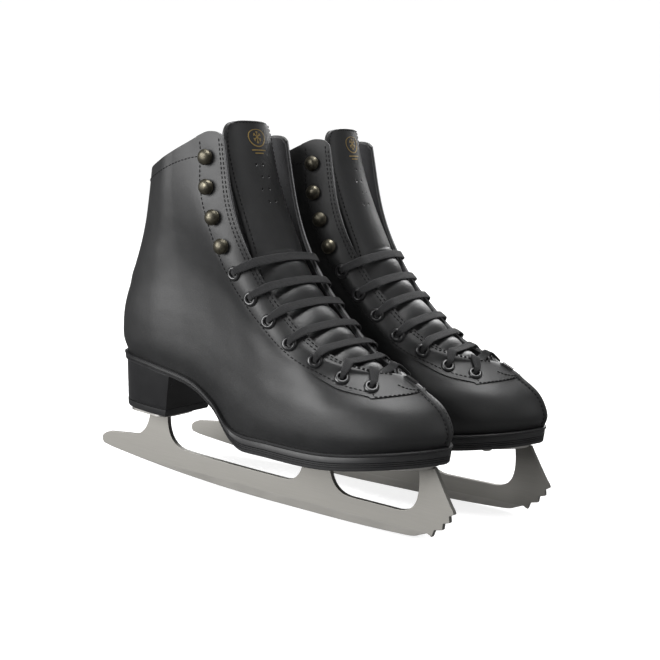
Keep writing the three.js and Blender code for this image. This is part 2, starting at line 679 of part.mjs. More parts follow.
function bladePlate() {
  const shape = new THREE.Shape();
  const at = (x, z) => [stretched(x), z];
  const line = (x, z) => shape.lineTo(...at(x, z));
  const bend = (cx, cz, x, z) => shape.quadraticCurveTo(...at(cx, cz), ...at(x, z));
  const under = (x) => rockerZ(stretched(x));
  const topOf = (x) => underFront(stretched(x));
  shape.moveTo(...at(-144, under(-144) + 0.5));
  for (let x = -120; x <= 0; x += 24) line(x, under(x));
  line(10, 0);
  line(50, 0);
  for (const x of [75, 95, 112]) line(x, under(x));
  line(122, 4.2);
  line(127.5, 6.4);
  for (const [tip, root] of [[[131, 4.5], [132.6, 9.6]], [[138, 10.8], [138.3, 15.4]], [[142.6, 16.6], [141.8, 21]]]) {
    line(...tip);
    line(...root);
  }
  line(145, 22.6);
  line(142.4, 27);
  bend(137, 35, 128, topOf(128));
  for (const x of [124, 120]) line(x, topOf(x));
  line(116.5, topOf(116.5));
  bend(119.5, 34, 117.5, 26);
  bend(115, runnerDepth, 104, runnerDepth);
  line(70, runnerDepth);
  bend(52, runnerDepth, 50, topOf(50));
  line(40, topOf(40));
  line(30, topOf(30));
  bend(30, runnerDepth + 1, 16, runnerDepth + 1);
  for (const x of [-20, -50]) line(x, runnerDepth + 1 + under(x) / 2);
  line(-70, runnerDepth + 2.5);
  bend(-87, runnerDepth + 5, -87.5, underHeel);
  line(-103.5, underHeel);
  bend(-103.5, runnerDepth + 8, -116, runnerDepth + 5.5);
  line(-140, runnerDepth + 2.5);
  bend(-147, runnerDepth, -146, 13.5);
  bend(-146, under(-144) + 1.5, -144, under(-144) + 0.5);
  const settings = { depth: bladeThickness, bevelEnabled: false, curveSegments: 5 };
  const plate = new THREE.ExtrudeGeometry(shape, settings);
  plate.rotateX(Math.PI / 2);
  plate.translate(0, bladeThickness / 2, 0);
  plate.deleteAttribute("normal");
  plate.deleteAttribute("uv");
  return mergeVertices(plate, 1e-4);
}

// Where the screws stand: [x, y, height of the plate's underside].
const SCREWS = [
  [62 * lengthScale, -15, "front"], [100 * lengthScale, 14, "front"],
  [-99 * lengthScale, -11, "heel"], [-86 * lengthScale, 12, "heel"],
];
const screwFoot = ([x, , where]) => (where === "front" ? underFront(x) - layerGap : underHeel);
const screwHead = { radius: 3.6, height: 1.4, length: 9 };

function screwPlace(screw) {
  return new THREE.Matrix4().makeTranslation(screw[0], screw[1], screwFoot(screw));
}

function cutForScrews(geometry) {
  return cut(geometry, SCREWS.map((screw) => drill(screwShank + gap, -1, 40, screwPlace(screw))));
}

function mountingPlate({ from, to }, width, narrow, top, bottom) {
  const stations = [0, 0.04, 0.12, 0.3, 0.5, 0.7, 0.88, 0.96, 1];
  const edge = (side) =>
    stations.map((t) => {
      const ends = Math.sqrt(Math.max(0, 1 - Math.abs(2 * t - 1) ** 6));
      const half = (width - (width - narrow) * t) * (0.35 + 0.65 * ends);
      return [from + (to - from) * t, side * half];
    });
  return cutForScrews(ladder(edge(LATERAL), edge(MEDIAL), top, bottom));
}
const solePlate = () =>
  mountingPlate(plateFront, 27, 17, (x) => soleBottom(x) - gap, (x) => underFront(x) + gap);
const heelPlate = () =>
  mountingPlate(plateHeel, 17, 21, flat(heelBottom - gap), flat(underHeel + gap));

function screw(spot) {
  const { radius, height, length } = screwHead;
  const profile = [
    [0, -height], [radius * 0.7, -height], [radius, gap - height * 0.4], [radius, 0],
    [screwShank, 0], [screwShank, length], [0, length + 1.5],
  ];
  return turned(profile, hardwareSides, screwPlace(spot));
}

// ---- Assembly -----------------------------------------------------------------------------------
const finish = (color, roughness, metalness = 0) => ({ color, roughness, metalness });
const LEATHER = finish(0x1b1b1d, 0.45);
const CLOTH = finish(0x101011, 0.9);
const FOAM = finish(0x3a3a3c, 0.95);
const BOARD = finish(0x9a8468, 0.85);
const RUBBER = finish(0x151516, 0.6);
const HEEL = finish(0x111112, 0.35);
const STEEL = finish(0xc4bfb6, 0.32, 1);
const ENAMEL = finish(0x0e0e0f, 0.3, 0.2);
const HOOK_METAL = finish(0x6e664e, 0.35, 1);
const LACE_CORD = finish(0x141415, 0.85);

const PIECES = {
  quarter_lateral: [() => quarter(LATERAL), LEATHER],
  quarter_medial: [() => quarter(MEDIAL), LEATHER],
  lining_lateral: [() => lining(LATERAL), CLOTH],
  lining_medial: [() => lining(MEDIAL), CLOTH],
  heel_counter: [heelCounter, BOARD],
  toe_puff: [toePuff, BOARD],
  collar_padding: [collarPadding, FOAM],
  eyelet_stay_lateral: [() => eyeletStay(LATERAL), LEATHER],
  eyelet_stay_medial: [() => eyeletStay(MEDIAL), LEATHER],
  eyelets_lateral: [() => eyeletRow(LATERAL), ENAMEL],
  eyelets_medial: [() => eyeletRow(MEDIAL), ENAMEL],
  hooks_lateral: [() => hookRow(LATERAL), HOOK_METAL],
  hooks_medial: [() => hookRow(MEDIAL), HOOK_METAL],
  tongue_lower: [tongueLower, LEATHER],
  tongue_upper: [tongueUpper, LEATHER],
  lace: [lace, LACE_CORD],
  footbed: [footbed, CLOTH],
  insole_board: [insoleBoard, BOARD],
  shank: [shank, STEEL],
  midsole: [midsole, RUBBER],
  outsole: [outsole, RUBBER],
  heel_block: [heelBlock, HEEL],
  heel_top_piece: [topPiece, RUBBER],
  blade: [bladePlate, STEEL],
  sole_plate: [solePlate, STEEL],
  heel_plate: [heelPlate, STEEL],
  ...Object.fromEntries(SCREWS.map((spot, i) => [`screw_${i + 1}`, [() => screw(spot), STEEL]])),
};

function skate(name) {
  const group = new THREE.Group();
  for (const [piece, [make, look]] of Object.entries(PIECES)) {
    const mesh = new THREE.Mesh(make(), new THREE.MeshStandardMaterial(look));
    mesh.name = `${name}_${piece}`;
    group.add(mesh);
  }
  return group;
}

const right = skate("right");
right.position.y = -pairSpacing / 2;
const left = skate("left");
left.scale.y = -1;
left.position.set(leftAhead, pairSpacing / 2, 0);
left.rotation.z = THREE.MathUtils.degToRad(leftToeOut);

// The origin is under the middle of the pair's box, on the ice.
const pair = new THREE.Group();
pair.add(right, left);
const box = new THREE.Box3().setFromObject(pair, true);
const middle = box.getCenter(new THREE.Vector3());
pair.position.set(-middle.x, -middle.y, -box.min.z);

export default pair;
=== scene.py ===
import math

import bmesh
import bpy
import numpy as np
from mathutils import Matrix, Vector, noise


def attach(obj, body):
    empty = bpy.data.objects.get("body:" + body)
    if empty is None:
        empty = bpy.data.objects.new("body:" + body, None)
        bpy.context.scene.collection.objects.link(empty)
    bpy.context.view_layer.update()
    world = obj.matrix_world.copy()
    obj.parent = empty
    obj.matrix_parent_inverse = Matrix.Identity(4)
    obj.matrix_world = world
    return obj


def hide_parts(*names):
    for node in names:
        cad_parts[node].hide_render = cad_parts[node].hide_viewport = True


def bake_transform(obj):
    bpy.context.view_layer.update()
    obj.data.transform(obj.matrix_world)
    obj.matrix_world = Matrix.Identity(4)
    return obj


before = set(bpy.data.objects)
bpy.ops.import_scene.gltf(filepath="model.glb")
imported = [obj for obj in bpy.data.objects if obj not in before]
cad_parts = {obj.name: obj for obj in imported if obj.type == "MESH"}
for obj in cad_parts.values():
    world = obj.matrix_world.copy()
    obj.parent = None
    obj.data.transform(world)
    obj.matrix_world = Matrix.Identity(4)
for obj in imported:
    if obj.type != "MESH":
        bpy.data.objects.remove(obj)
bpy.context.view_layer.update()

# ---- Studio -------------------------------------------------------------------------------------
# A pale seamless floor with large soft lights, seen from the front left at knee height. Lengths in
# this file are millimetres in one skate's own frame, and turn into metres as each piece is placed.
MM = 0.001
CAMERA_AT = Vector((0.4877, -0.8346, 0.2679))
AZIMUTH, ELEVATION, ROLL = (math.radians(a) for a in (30.8, 8.1, 5.5))
back = Vector((math.sin(AZIMUTH) * math.cos(ELEVATION), -math.cos(AZIMUTH) * math.cos(ELEVATION),
               math.sin(ELEVATION)))
right = Vector((0, 0, 1)).cross(back).normalized()
up = back.cross(right)
level = Matrix((math.cos(ROLL) * right + math.sin(ROLL) * up,
                math.cos(ROLL) * up - math.sin(ROLL) * right, back)).transposed()
camera = bpy.data.objects.new("camera", bpy.data.cameras.new("camera"))
camera.matrix_world = Matrix.Translation(CAMERA_AT) @ level.to_4x4()
camera.data.lens = 74.9
camera.data.shift_x = 0.0156
camera.data.shift_y = -0.0323
camera.data.clip_end = 20
bpy.context.collection.objects.link(camera)
bpy.context.scene.camera = camera


def softbox(name, place, towards, size, watts):
    light = bpy.data.lights.new(name, "AREA")
    light.shape = "RECTANGLE"
    light.size, light.size_y = size
    light.energy = watts
    holder = bpy.data.objects.new(name, light)
    holder.location = place
    holder.rotation_euler = (Vector(towards) - Vector(place)).to_track_quat("-Z", "Y").to_euler()
    bpy.context.collection.objects.link(holder)


softbox("overhead", (0.12, 0.05, 1.6), (0.03, 0, 0.1), (1.0, 0.8), 32)
softbox("side", (-0.8, -1.5, 0.55), (-0.03, 0, 0.13), (1.5, 1.1), 58)
softbox("rear", (-0.6, 1.5, 0.9), (0, 0, 0.12), (1.3, 0.9), 24)
softbox("toes", (1.7, 0.6, 0.9), (0.05, 0, 0.1), (0.4, 0.6), 2.5)

world = bpy.data.worlds.new("studio")
world.use_nodes = True
world.node_tree.nodes["Background"].inputs["Color"].default_value = (1, 1, 1, 1)
world.node_tree.nodes["Background"].inputs["Strength"].default_value = 0.2
bpy.context.scene.world = world
bpy.context.scene.view_settings.view_transform = "Standard"


class Wire:
    """A shader socket that can be used in sums, and a maker of the nodes that a sum can't say."""

    def __init__(self, tree, socket):
        self.tree = tree
        self.socket = socket

    def node(self, kind, settings=None, sockets=None, out=0):
        made = self.tree.nodes.new("ShaderNode" + kind)
        for name, value in (settings or {}).items():
            setattr(made, name, value)
        for key, value in (sockets or {}).items():
            if isinstance(value, Wire):
                self.tree.links.new(value.socket, made.inputs[key])
            else:
                made.inputs[key].default_value = value
        return Wire(self.tree, made.outputs[out])

    def sum(self, operation, first, second):
        return self.node("Math", {"operation": operation}, {0: first, 1: second})

    def __add__(self, other):
        return self.sum("ADD", self, other)

    def __sub__(self, other):
        return self.sum("SUBTRACT", self, other)

    def __rsub__(self, other):
        return self.sum("SUBTRACT", other, self)

    def __mul__(self, other):
        return self.sum("MULTIPLY", self, other)

    __radd__ = __add__
    __rmul__ = __mul__

    def wave(self):
        return self.node("Math", {"operation": "SINE"}, {0: self})

    def ramp(self, low, high):
        return self.node("MapRange", {"interpolation_type": "SMOOTHSTEP"},
                         {"Value": self, "From Min": low, "From Max": high})

    def tint(self, dark, light):
        return self.node("Mix", {"data_type": "RGBA"},
                         {0: self, 6: (*dark, 1), 7: (*light, 1)}, out=2)


class Finish:
    """A material with one Principled shader, whose sockets take numbers, colours or wires."""

    def __init__(self, name, **constants):
        self.material = bpy.data.materials.new(name)
        self.material.use_nodes = True
        self.tree = self.material.node_tree
        self.shader = self.tree.nodes["Principled BSDF"]
        for key, value in constants.items():
            self.shader.inputs[key.replace("_", " ")].default_value = value
        self.start = Wire(self.tree, None)
        self.place = self.start.node("TexCoord", out=3)

    def noise(self, scale, detail=2.0, rough=0.5, where=None):
        return self.start.node("TexNoise", {},
                               {"Vector": where or self.place, "Scale": scale, "Detail": detail,
                                "Roughness": rough})

    def cells(self, scale, where=None):
        return self.start.node("TexVoronoi", {"feature": "DISTANCE_TO_EDGE"},
                               {"Vector": where or self.place, "Scale": scale})

    def part(self, axis, where=None):
        return self.start.node("SeparateXYZ", {}, {0: where or self.place}, out=axis)

    def set(self, key, wire):
        self.tree.links.new(wire.socket, self.shader.inputs[key])

    def bump(self, height, distance_mm, strength=1.0, after=None):
        sockets = {"Height": height, "Distance": distance_mm * MM, "Strength": strength}
        if after:
            sockets["Normal"] = after
        return self.start.node("Bump", {}, sockets)


# The floor is lit a little from within, and stays out of the leather's and the steel's reflections.
floor_finish = Finish("studio_floor", Roughness=0.7, Emission_Color=(1, 1, 1, 1),
                      Emission_Strength=0.78)
floor_finish.set("Base Color", floor_finish.noise(3).tint((0.36, 0.36, 0.36), (0.38, 0.38, 0.38)))
FLAT, RISE, TURNS = 2.2, 2.6, 96
rings = [(0.8, 0.0), (FLAT, 0.0)] + [(FLAT + RISE * math.sin(a), RISE * (1 - math.cos(a)))
                                     for a in np.linspace(0.1, 1.57, 15)]
sweep = [(r * math.cos(2 * math.pi * k / TURNS), r * math.sin(2 * math.pi * k / TURNS), z)
         for r, z in rings for k in range(TURNS)] + [(0, 0, 0)]
around = [(k, (k + 1) % TURNS) for k in range(TURNS)]
panels = [(i * TURNS + b, i * TURNS + a, (i + 1) * TURNS + a, (i + 1) * TURNS + b)
          for i in range(len(rings) - 1) for a, b in around]
floor_mesh = bpy.data.meshes.new("floor")
floor_mesh.from_pydata(sweep, [], panels + [(len(sweep) - 1, a, b) for a, b in around])
floor_mesh.polygons.foreach_set("use_smooth", [True] * len(floor_mesh.polygons))
floor_mesh.materials.append(floor_finish.material)
floor = bpy.data.objects.new("floor", floor_mesh)
floor.location.z = -0.2 * MM
floor.visible_glossy = False
bpy.context.collection.objects.link(floor)

# ---- The last ------------------------------------------------------------------------------------
# The boot's outer form, which every layer of the upper follows. Level lines run from the back seam
# to the front edge as [x, half width, z], and climb from the sole to the collar.
LEVELS = np.array([
    [[-123, 0, 86], [-112, 20, 86], [-85, 28, 84.5], [-52, 28, 79], [-30, 29.5, 68],
     [-9, 33.5, 52.5], [25, 40.5, 52.5], [70, 43, 54.5], [110, 31, 61], [133.5, 0, 65]],
    [[-128, 0, 96], [-116, 21.5, 96], [-86, 31, 96], [-54, 31, 92], [-31, 33, 84],
     [-6, 37.5, 71], [27, 43.5, 65], [72, 46, 66], [113, 33, 72], [135, 0, 74]],
    [[-129.5, 0, 107], [-117, 22, 108], [-87, 32, 109], [-56, 32, 107], [-32, 34, 101],
     [-5, 38.5, 89], [27, 44, 81], [70, 45.5, 81], [108, 28.5, 86], [128, 0, 86.5]],
    [[-129.5, 0, 116.5], [-117, 22, 118.5], [-88, 32, 120.5], [-58, 32.2, 120.5], [-34, 34, 116.5],
     [-7, 38.5, 105.5], [23, 43, 95], [62, 42.5, 92.5], [96, 23, 95.5], [114, 0, 96]],
    [[-128.3, 0, 125], [-116, 21.5, 127.5], [-88, 31.5, 131], [-60, 32, 132], [-37, 33.8, 130],
     [-11, 38, 120.5], [17, 42.3, 108], [52, 41, 101.5], [79, 23, 103], [97, 0, 104]],
    [[-127, 0, 132], [-114.5, 21, 135], [-88, 31, 140], [-62, 32, 142.5], [-40, 33.8, 141],
     [-15, 37.7, 132.5], [11, 41.8, 119.5], [42, 41.8, 109], [68, 28.5, 107.5], [86, 13, 106]],
    [[-125.5, 0, 139.5], [-113.5, 21, 143], [-88, 31, 149], [-64, 32.3, 152.5], [-43, 34.5, 151.5],
     [-19, 38, 143], [4, 42, 130.5], [29, 42.8, 119], [49, 36.5, 114.5], [65, 23.5, 110.5]],
    [[-122.8, 0, 148.5], [-111, 21, 152.5], [-88, 31.5, 159.5], [-66, 33.3, 163.5], [-47, 36, 163],
     [-26, 39.3, 156], [-7, 42.2, 145.5], [12, 43, 135.5], [27, 39, 130.5], [40, 32, 125.5]],
    [[-119, 0, 160.5], [-108, 21.5, 164.5], [-87, 32, 172], [-68, 34.8, 176], [-52, 37.7, 176.5],
     [-36, 40.7, 172.5], [-21, 42.7, 165.5], [-7, 42.7, 158], [4, 40, 153.5], [14, 35.5, 148.5]],
    [[-115.5, 0, 176], [-105, 22.5, 180], [-86, 33.5, 187.5], [-70, 36.7, 192], [-57, 39.2, 193],
     [-44, 41.3, 191], [-33, 42.3, 187], [-23, 42.3, 182], [-14, 40.8, 177.5], [-6, 38.3, 173.5]],
    [[-112.5, 0, 194], [-103, 23.5, 199], [-86, 34.7, 207], [-73, 37.7, 212], [-62, 39.6, 214],
     [-52, 40.8, 213.5], [-43, 41.3, 211.5], [-35, 41.3, 209], [-27.5, 40.8, 206], [-21, 40, 203]],
    [[-110, 0, 213], [-102, 24, 218], [-87, 34.7, 226], [-75, 37.2, 233], [-65, 38.4, 238.5],
     [-55, 39.2, 244], [-47, 39.6, 248], [-42, 39.7, 249], [-37, 39.6, 248.7], [-33, 39.2, 246]],
])
THROAT = 4 / 11
SIDES = {"lateral": -1, "medial": 1}


def smooth(x, low, high):
    t = np.clip((np.asarray(x, float) - low) / (high - low), 0, 1)
    return t * t * (3 - 2 * t)


def trimmed(levels):
    x, w, z = levels[..., 0], levels[..., 1], levels[..., 2]
    low = 1 - smooth(z, 60, 130)
    slim = 5 * np.exp(-(((x + 5) / 45) ** 2)) + 2 * np.exp(-(((x - 70) / 30) ** 2))
    return np.stack([x, np.where(w > 0, w - slim * low, 0), z], -1)


NETS = {-1: LEVELS, 1: trimmed(LEVELS)}


def through(a, b, c, d, t):
    t = t[..., None]
    ends = (2 * t ** 3 - 3 * t ** 2 + 1) * b + (3 * t ** 2 - 2 * t ** 3) * c
    return ends + (t ** 3 - 2 * t ** 2 + t) * (c - a) / 2 + (t ** 3 - t ** 2) * (d - b) / 2


def along(points, t, reflect=False):
    """A smooth line through points at t from 0 to 1, continued by reflection from the mid plane."""
    points = np.asarray(points, float)
    flip = np.array([1, -1, 1])

    def ghost(end, inner):
        if reflect and end[1] == 0:
            return inner * flip
        return 2 * end - inner

    line = np.vstack([ghost(points[0], points[1]), points, ghost(points[-1], points[-2])])
    u = np.clip(np.asarray(t, float), 0, 1) * (len(points) - 1)
    i = np.minimum(u.astype(int), len(points) - 2)
    return through(line[i], line[i + 1], line[i + 2], line[i + 3], u - i)


def surface(side, s, v):
    s, v = np.broadcast_arrays(np.asarray(s, float), np.asarray(v, float))
    rows = np.stack([along(row, s.ravel(), True) for row in NETS[side]], 1)
    rows = np.concatenate([2 * rows[:, :1] - rows[:, 1:2], rows,
                           2 * rows[:, -1:] - rows[:, -2:-1]], 1)
    u = np.clip(v.ravel(), 0, 1) * 11
    i = np.minimum(u.astype(int), 10)
    n = np.arange(len(i))
    p = through(rows[n, i], rows[n, i + 1], rows[n, i + 2], rows[n, i + 3], u - i)
    p[:, 1] *= side
    return p.reshape(s.shape + (3,))


def unit(a):
    return a / np.maximum(np.linalg.norm(a, axis=-1, keepdims=True), 1e-9)


def outward(side, s, v):
    step = 0.004
    forward = surface(side, np.minimum(s + step, 1), v) - surface(side, np.maximum(s - step, 0), v)
    upward = surface(side, s, np.minimum(v + step, 1)) - surface(side, s, np.maximum(v - step, 0))
    return unit(-side * np.cross(forward, upward))


def lifted(side, s, v, height):
    """Points at a height over the boot's form. Those of the two seams stay on their own side."""
    s, v = np.broadcast_arrays(np.asarray(s, float), np.asarray(v, float))
    normal = outward(side, s, v)
    on_seam = (s < 1e-6) | ((s > 1 - 1e-6) & (v < THROAT + 1e-6))
    normal[..., 1] = np.where(on_seam, 0, normal[..., 1])
    return surface(side, s, v) + unit(normal) * np.broadcast_to(height, s.shape)[..., None]


def nearest(side, point):
    best = (0.8, 0.6)
    reach = 0.4
    around = np.linspace(-1, 1, 13)
    while reach > 1e-4:
        s, v = np.broadcast_arrays(np.clip(best[0] + reach * around[:, None], 0, 1),
                                   np.clip(best[1] + reach * around, 0, 1))
        k = np.argmin(np.linalg.norm(surface(side, s, v) - point, axis=-1))
        best = (s.ravel()[k], v.ravel()[k])
        reach *= 0.5
    return best


# Where each skate stands: its blade's mid plane, how far it is ahead, and its turn.
PAIR_MIDDLE = (8.6196, 2.1168)
STANDS = {"right": (0, -50, 0, 1), "left": (19, 50, math.radians(6.4), -1)}


def placed(points, skate):
    x, y, turn, mirror = STANDS[skate]
    px, py = points[:, 0], points[:, 1] * mirror
    across = np.stack([x + px * math.cos(turn) - py * math.sin(turn) - PAIR_MIDDLE[0],
                       y + px * math.sin(turn) + py * math.cos(turn) - PAIR_MIDDLE[1],
                       points[:, 2]], -1)
    return across * MM


def piece(name, points, faces, finish, skate, body="skate", crisp=40, uv=None):
    """Makes one piece of one skate from points and faces, and lets it ride on its body."""
    mesh = bpy.data.meshes.new(f"{skate}_{name}")
    mesh.from_pydata(placed(np.asarray(points, float), skate).tolist(), [], faces)
    if uv is not None:
        layer = mesh.uv_layers.new(name="weave")
        corners = np.zeros(len(mesh.loops), int)
        mesh.loops.foreach_get("vertex_index", corners)
        layer.data.foreach_set("uv", np.asarray(uv, float)[corners].ravel())
    work = bmesh.new()
    work.from_mesh(mesh)
    bmesh.ops.recalc_face_normals(work, faces=work.faces)
    work.to_mesh(mesh)
    work.free()
    mesh.polygons.foreach_set("use_smooth", [True] * len(mesh.polygons))
    mesh.set_sharp_from_angle(angle=math.radians(crisp))
    mesh.materials.append(finish.material)
    thing = bpy.data.objects.new(f"{skate}_{name}", mesh)
    bpy.context.collection.objects.link(thing)
    if body:
        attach(thing, f"{skate}_{body}")
    return thing


def apply(thing, kind, **settings):
    modifier = thing.modifiers.new(kind.lower(), kind)
    for key, value in settings.items():
        setattr(modifier, key, value)
    bpy.context.view_layer.update()
    made = bpy.data.meshes.new_from_object(
        thing.evaluated_get(bpy.context.evaluated_depsgraph_get()))
    thing.modifiers.clear()
    old = thing.data
    thing.data = made
    bpy.data.meshes.remove(old)


def soften(thing, width, segments=3, angle=50):
    apply(thing, "BEVEL", width=width * MM, segments=segments, limit_method="ANGLE",
          angle_limit=math.radians(angle), use_clamp_overlap=True)
    thing.data.polygons.foreach_set("use_smooth", [True] * len(thing.data.polygons))


def sheet_between(outer, inner):
    """A closed sheet between two grids of points."""
    n, m = outer.shape[:2]
    points = np.concatenate([outer.reshape(-1, 3), inner.reshape(-1, 3)])
    index = np.arange(n * m).reshape(n, m)
    a, b, c, d = index[:-1, :-1], index[1:, :-1], index[1:, 1:], index[:-1, 1:]
    faces = np.stack([a, b, c, d], -1).reshape(-1, 4).tolist()
    faces += (np.stack([a, d, c, b], -1).reshape(-1, 4) + n * m).tolist()
    rim = np.concatenate([index[:, 0], index[-1, 1:], index[-2::-1, -1], index[0, -2:0:-1]])
    far = np.roll(rim, -1)
    faces += np.stack([rim, rim + n * m, far + n * m, far], -1).tolist()
    return points, faces


def rings_joined(rows, size, caps=True, loop=False):
    """The faces of a body made of like rings of points, one row after another."""
    faces = [[i * size + k, i * size + (k + 1) % size,
              (i + 1) % rows * size + (k + 1) % size, (i + 1) % rows * size + k]
             for i in range(rows if loop else rows - 1) for k in range(size)]
    if caps:
        faces += [list(range(size))[::-1], list(range((rows - 1) * size, rows * size))]
    return faces


def mottle(points, size, height):
    """Low waves, the same on every run."""
    flat = points.reshape(-1, 3)
    waves = [noise.noise(Vector(p) / size) for p in flat]
    return height * np.array(waves).reshape(points.shape[:-1])


# ---- Hardware line -------------------------------------------------------------------------------
# Seven eyelets and then four hooks stand a pitch apart on one line down each facing.
PITCH = 20.3
EYELETS, HOOKS = 7, 4
HARDWARE_LINE = [[89, 24, 98.6], [67.5, 33, 103.6], [49.5, 38, 111.5], [15, 41, 132.5],
                 [-12.5, 42, 159], [-33, 42, 193.5], [-43.8, 41, 234]]
hardware_sv = [(*nearest(1, np.array(p)), 0) for p in HARDWARE_LINE]


def hardware_spots(side):
    t = np.arange(241) / 240
    sv = along(hardware_sv, t)[:, :2]
    place = surface(side, sv[:, 0], sv[:, 1])
    gone = np.concatenate([[0], np.cumsum(np.linalg.norm(np.diff(place, axis=0), axis=1))])
    spots = []
    for k in range(EYELETS + HOOKS):
        i = max(1, int(np.searchsorted(gone, k * PITCH)))
        normal = outward(side, sv[i, 0], sv[i, 1])
        upward = unit(place[i] - place[i - 1])
        edgeward = unit(-side * np.cross(upward, normal))
        spots.append({"place": place[i], "normal": normal, "up": upward, "edge": edgeward})
    return spots


SPOTS = {side: hardware_spots(side) for side in (-1, 1)}


def nearest_edge(side, point):
    v = THROAT + (1 - THROAT) * np.arange(201) / 200
    return v[np.argmin(np.linalg.norm(surface(side, 1.0, v) - point, axis=-1))]


# The facing lies between a rear line behind the hardware and the front edge. Past the first eyelet
# the rear line draws in towards the throat.
FACING_REAR, TOE_REAR, TOE_PAST = 8, 6.6, 7
rear_sv = [(1.0, 3.15 / 11, 0)]
front_sv = [(1.0, 3.25 / 11, 0)]
first = SPOTS[1][0]
rear_sv.append((*nearest(1, first["place"] - TOE_REAR * first["edge"] - TOE_PAST * first["up"]), 0))
front_sv.append((1.0, 3.6 / 11, 0))
for spot in SPOTS[1]:
    rear_sv.append((*nearest(1, spot["place"] - FACING_REAR * spot["edge"]), 0))
    front_sv.append((1.0, nearest_edge(1, spot["place"]), 0))
rear_sv.append((*nearest(1, np.array([-54.5, 39.2, 244.4])), 0))
rear_sv[-1] = (rear_sv[-1][0], 1.0, 0)
front_sv.append((1.0, 1.0, 0))


def facing_at(t, u):
    """[s, v] at t up the facing, and u from its rear line to its front edge."""
    t, u = np.broadcast_arrays(np.asarray(t, float), np.asarray(u, float))
    rear, front = along(rear_sv, t)[..., :2], along(front_sv, t)[..., :2]
    sv = rear + (front - rear) * u[..., None]
    return np.clip(sv[..., 0], 0, 1), np.clip(sv[..., 1], 0, 1)


# The s of the facing's rear line at each level, past the front edge where there is no facing.
line_t = np.linspace(0, 1, 400)
rear_s, rear_v = facing_at(line_t, 0.0)
REAR_V = np.linspace(0, 1, 101)
REAR_S = np.array([rear_s[np.abs(rear_v - v) < 0.02].min() if np.any(np.abs(rear_v - v) < 0.02)
                   else 1.3 for v in REAR_V])

# ---- Quarters ------------------------------------------------------------------------------------
# Two quarters of 2 mm smooth black corrected-grain leather, lasted over the form, joined at the
# back seam and the toe seam. The leather dimples a little under each eyelet and hook.
QUARTER_THICK = 1.8


def leather_finish(name, dark, light, roughness, grain=1.0):
    made = Finish(name, Specular_IOR_Level=0.42, IOR=1.5)
    clouds = made.noise(45, 3, 0.55)
    made.set("Base Color", clouds.tint(dark, light))
    pores = made.cells(1500)
    creases = made.cells(620, made.start.node(
        "VectorMath", {"operation": "MULTIPLY_ADD"},
        {0: made.noise(180, 2), 1: (0.0016, 0.0016, 0.0016), 2: made.place}))
    fine = made.noise(2600, 2)
    made.set("Roughness", roughness + 0.10 * made.noise(90, 3) + 0.05 * fine - 0.05)
    grainy = pores.ramp(0.0, 0.25) * 0.5 + creases.ramp(0.0, 0.12) * 0.5 + 0.25 * fine
    near = made.bump(grainy, 0.05 * grain, 0.5)
    made.set("Normal", made.bump(made.noise(70, 4, 0.6), 0.5, 0.35, near))
    return made


leather = leather_finish("black_leather", (0.0045, 0.0046, 0.0048), (0.0075, 0.0076, 0.0080), 0.45)


def form_height(side, s, v):
    """How far the leather stands off the last."""
    base = surface(side, s, v)
    height = mottle(base, 38.0, 0.35) + mottle(base + 71.0, 15.0, 0.12)
    for spot in SPOTS[side]:
        away = np.linalg.norm(base - spot["place"], axis=-1)
        height -= 0.35 * np.exp(-((away / 6.5) ** 2))
    fade = smooth(v, 0.0, 0.06)
    return height * fade


quarter_s = np.concatenate([np.linspace(0, 0.06, 5), np.linspace(0.075, 0.9, 95),
                            np.linspace(0.91, 1, 14)])[:, None]
quarter_v = np.linspace(0, 1, 96)[None, :]
for skate in STANDS:
    for word, side in SIDES.items():
        height = form_height(side, quarter_s, quarter_v)
        outer = lifted(side, quarter_s, quarter_v, height)
        inner = lifted(side, quarter_s, quarter_v, -QUARTER_THICK)
        quarter = piece(f"quarter_leather_{word}", *sheet_between(outer, inner), leather, skate)
        soften(quarter, 0.7)
        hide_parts(f"{skate}_quarter_{word}")

# ---- Facings -------------------------------------------------------------------------------------
# A second layer of the same leather, cut to the lace rows, skived at its edges and stitched down.
# Its cut front edge is painted paler: partly the paler flesh of the hide, partly a painted
# highlight.
FACING_RISE = 0.75
CUT_TOP, CUT_FOOT = 0.45, -0.65
CUT_PROUD, CUT_DEEP = 0.14, 0.4
# The edge strip's pale grey is partly the hide's flesh and partly a painted highlight along the
# edge.
cut_edge_and_highlight = Finish("cut_leather_edge_and_painted_highlight", Roughness=0.75)
cut_edge_and_highlight.set("Base Color", cut_edge_and_highlight.noise(900, 3).tint((0.05, 0.05, 0.052), (0.16, 0.16, 0.165)))
cut_edge_and_highlight.set("Normal", cut_edge_and_highlight.bump(cut_edge_and_highlight.noise(1800, 3), 0.08, 0.6))
facing_t = np.linspace(0, 1, 190)[:, None]
facing_u = np.array([0, 0.03, 0.07, *np.linspace(0.13, 0.87, 13), 0.93, 0.97, 1])[None, :]
for skate in STANDS:
    for word, side in SIDES.items():
        s, v = facing_at(facing_t, facing_u)
        height = form_height(side, s, v)
        outer = lifted(side, s, v, height + FACING_RISE)
        inner = lifted(side, s, v, height - 0.6)
        facing = piece(f"facing_{word}", *sheet_between(outer, inner), leather, skate)
        soften(facing, 0.3)
        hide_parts(f"{skate}_eyelet_stay_{word}")
        s, v = facing_at(facing_t, np.array([[0.9, 1.0]]))
        rows = [lifted(side, s, v, form_height(side, s, v) + h) for h in (CUT_TOP, CUT_FOOT)]
        ahead = [unit(row[:, 1] - row[:, 0]) for row in rows]
        face = np.stack([row[:, 1] + CUT_PROUD * a for row, a in zip(rows, ahead)], 1)
        behind = np.stack([row[:, 1] - CUT_DEEP * a for row, a in zip(rows, ahead)], 1)
        cut = piece(f"facing_cut_edge_{word}", *sheet_between(face, behind), cut_edge_and_highlight, skate)

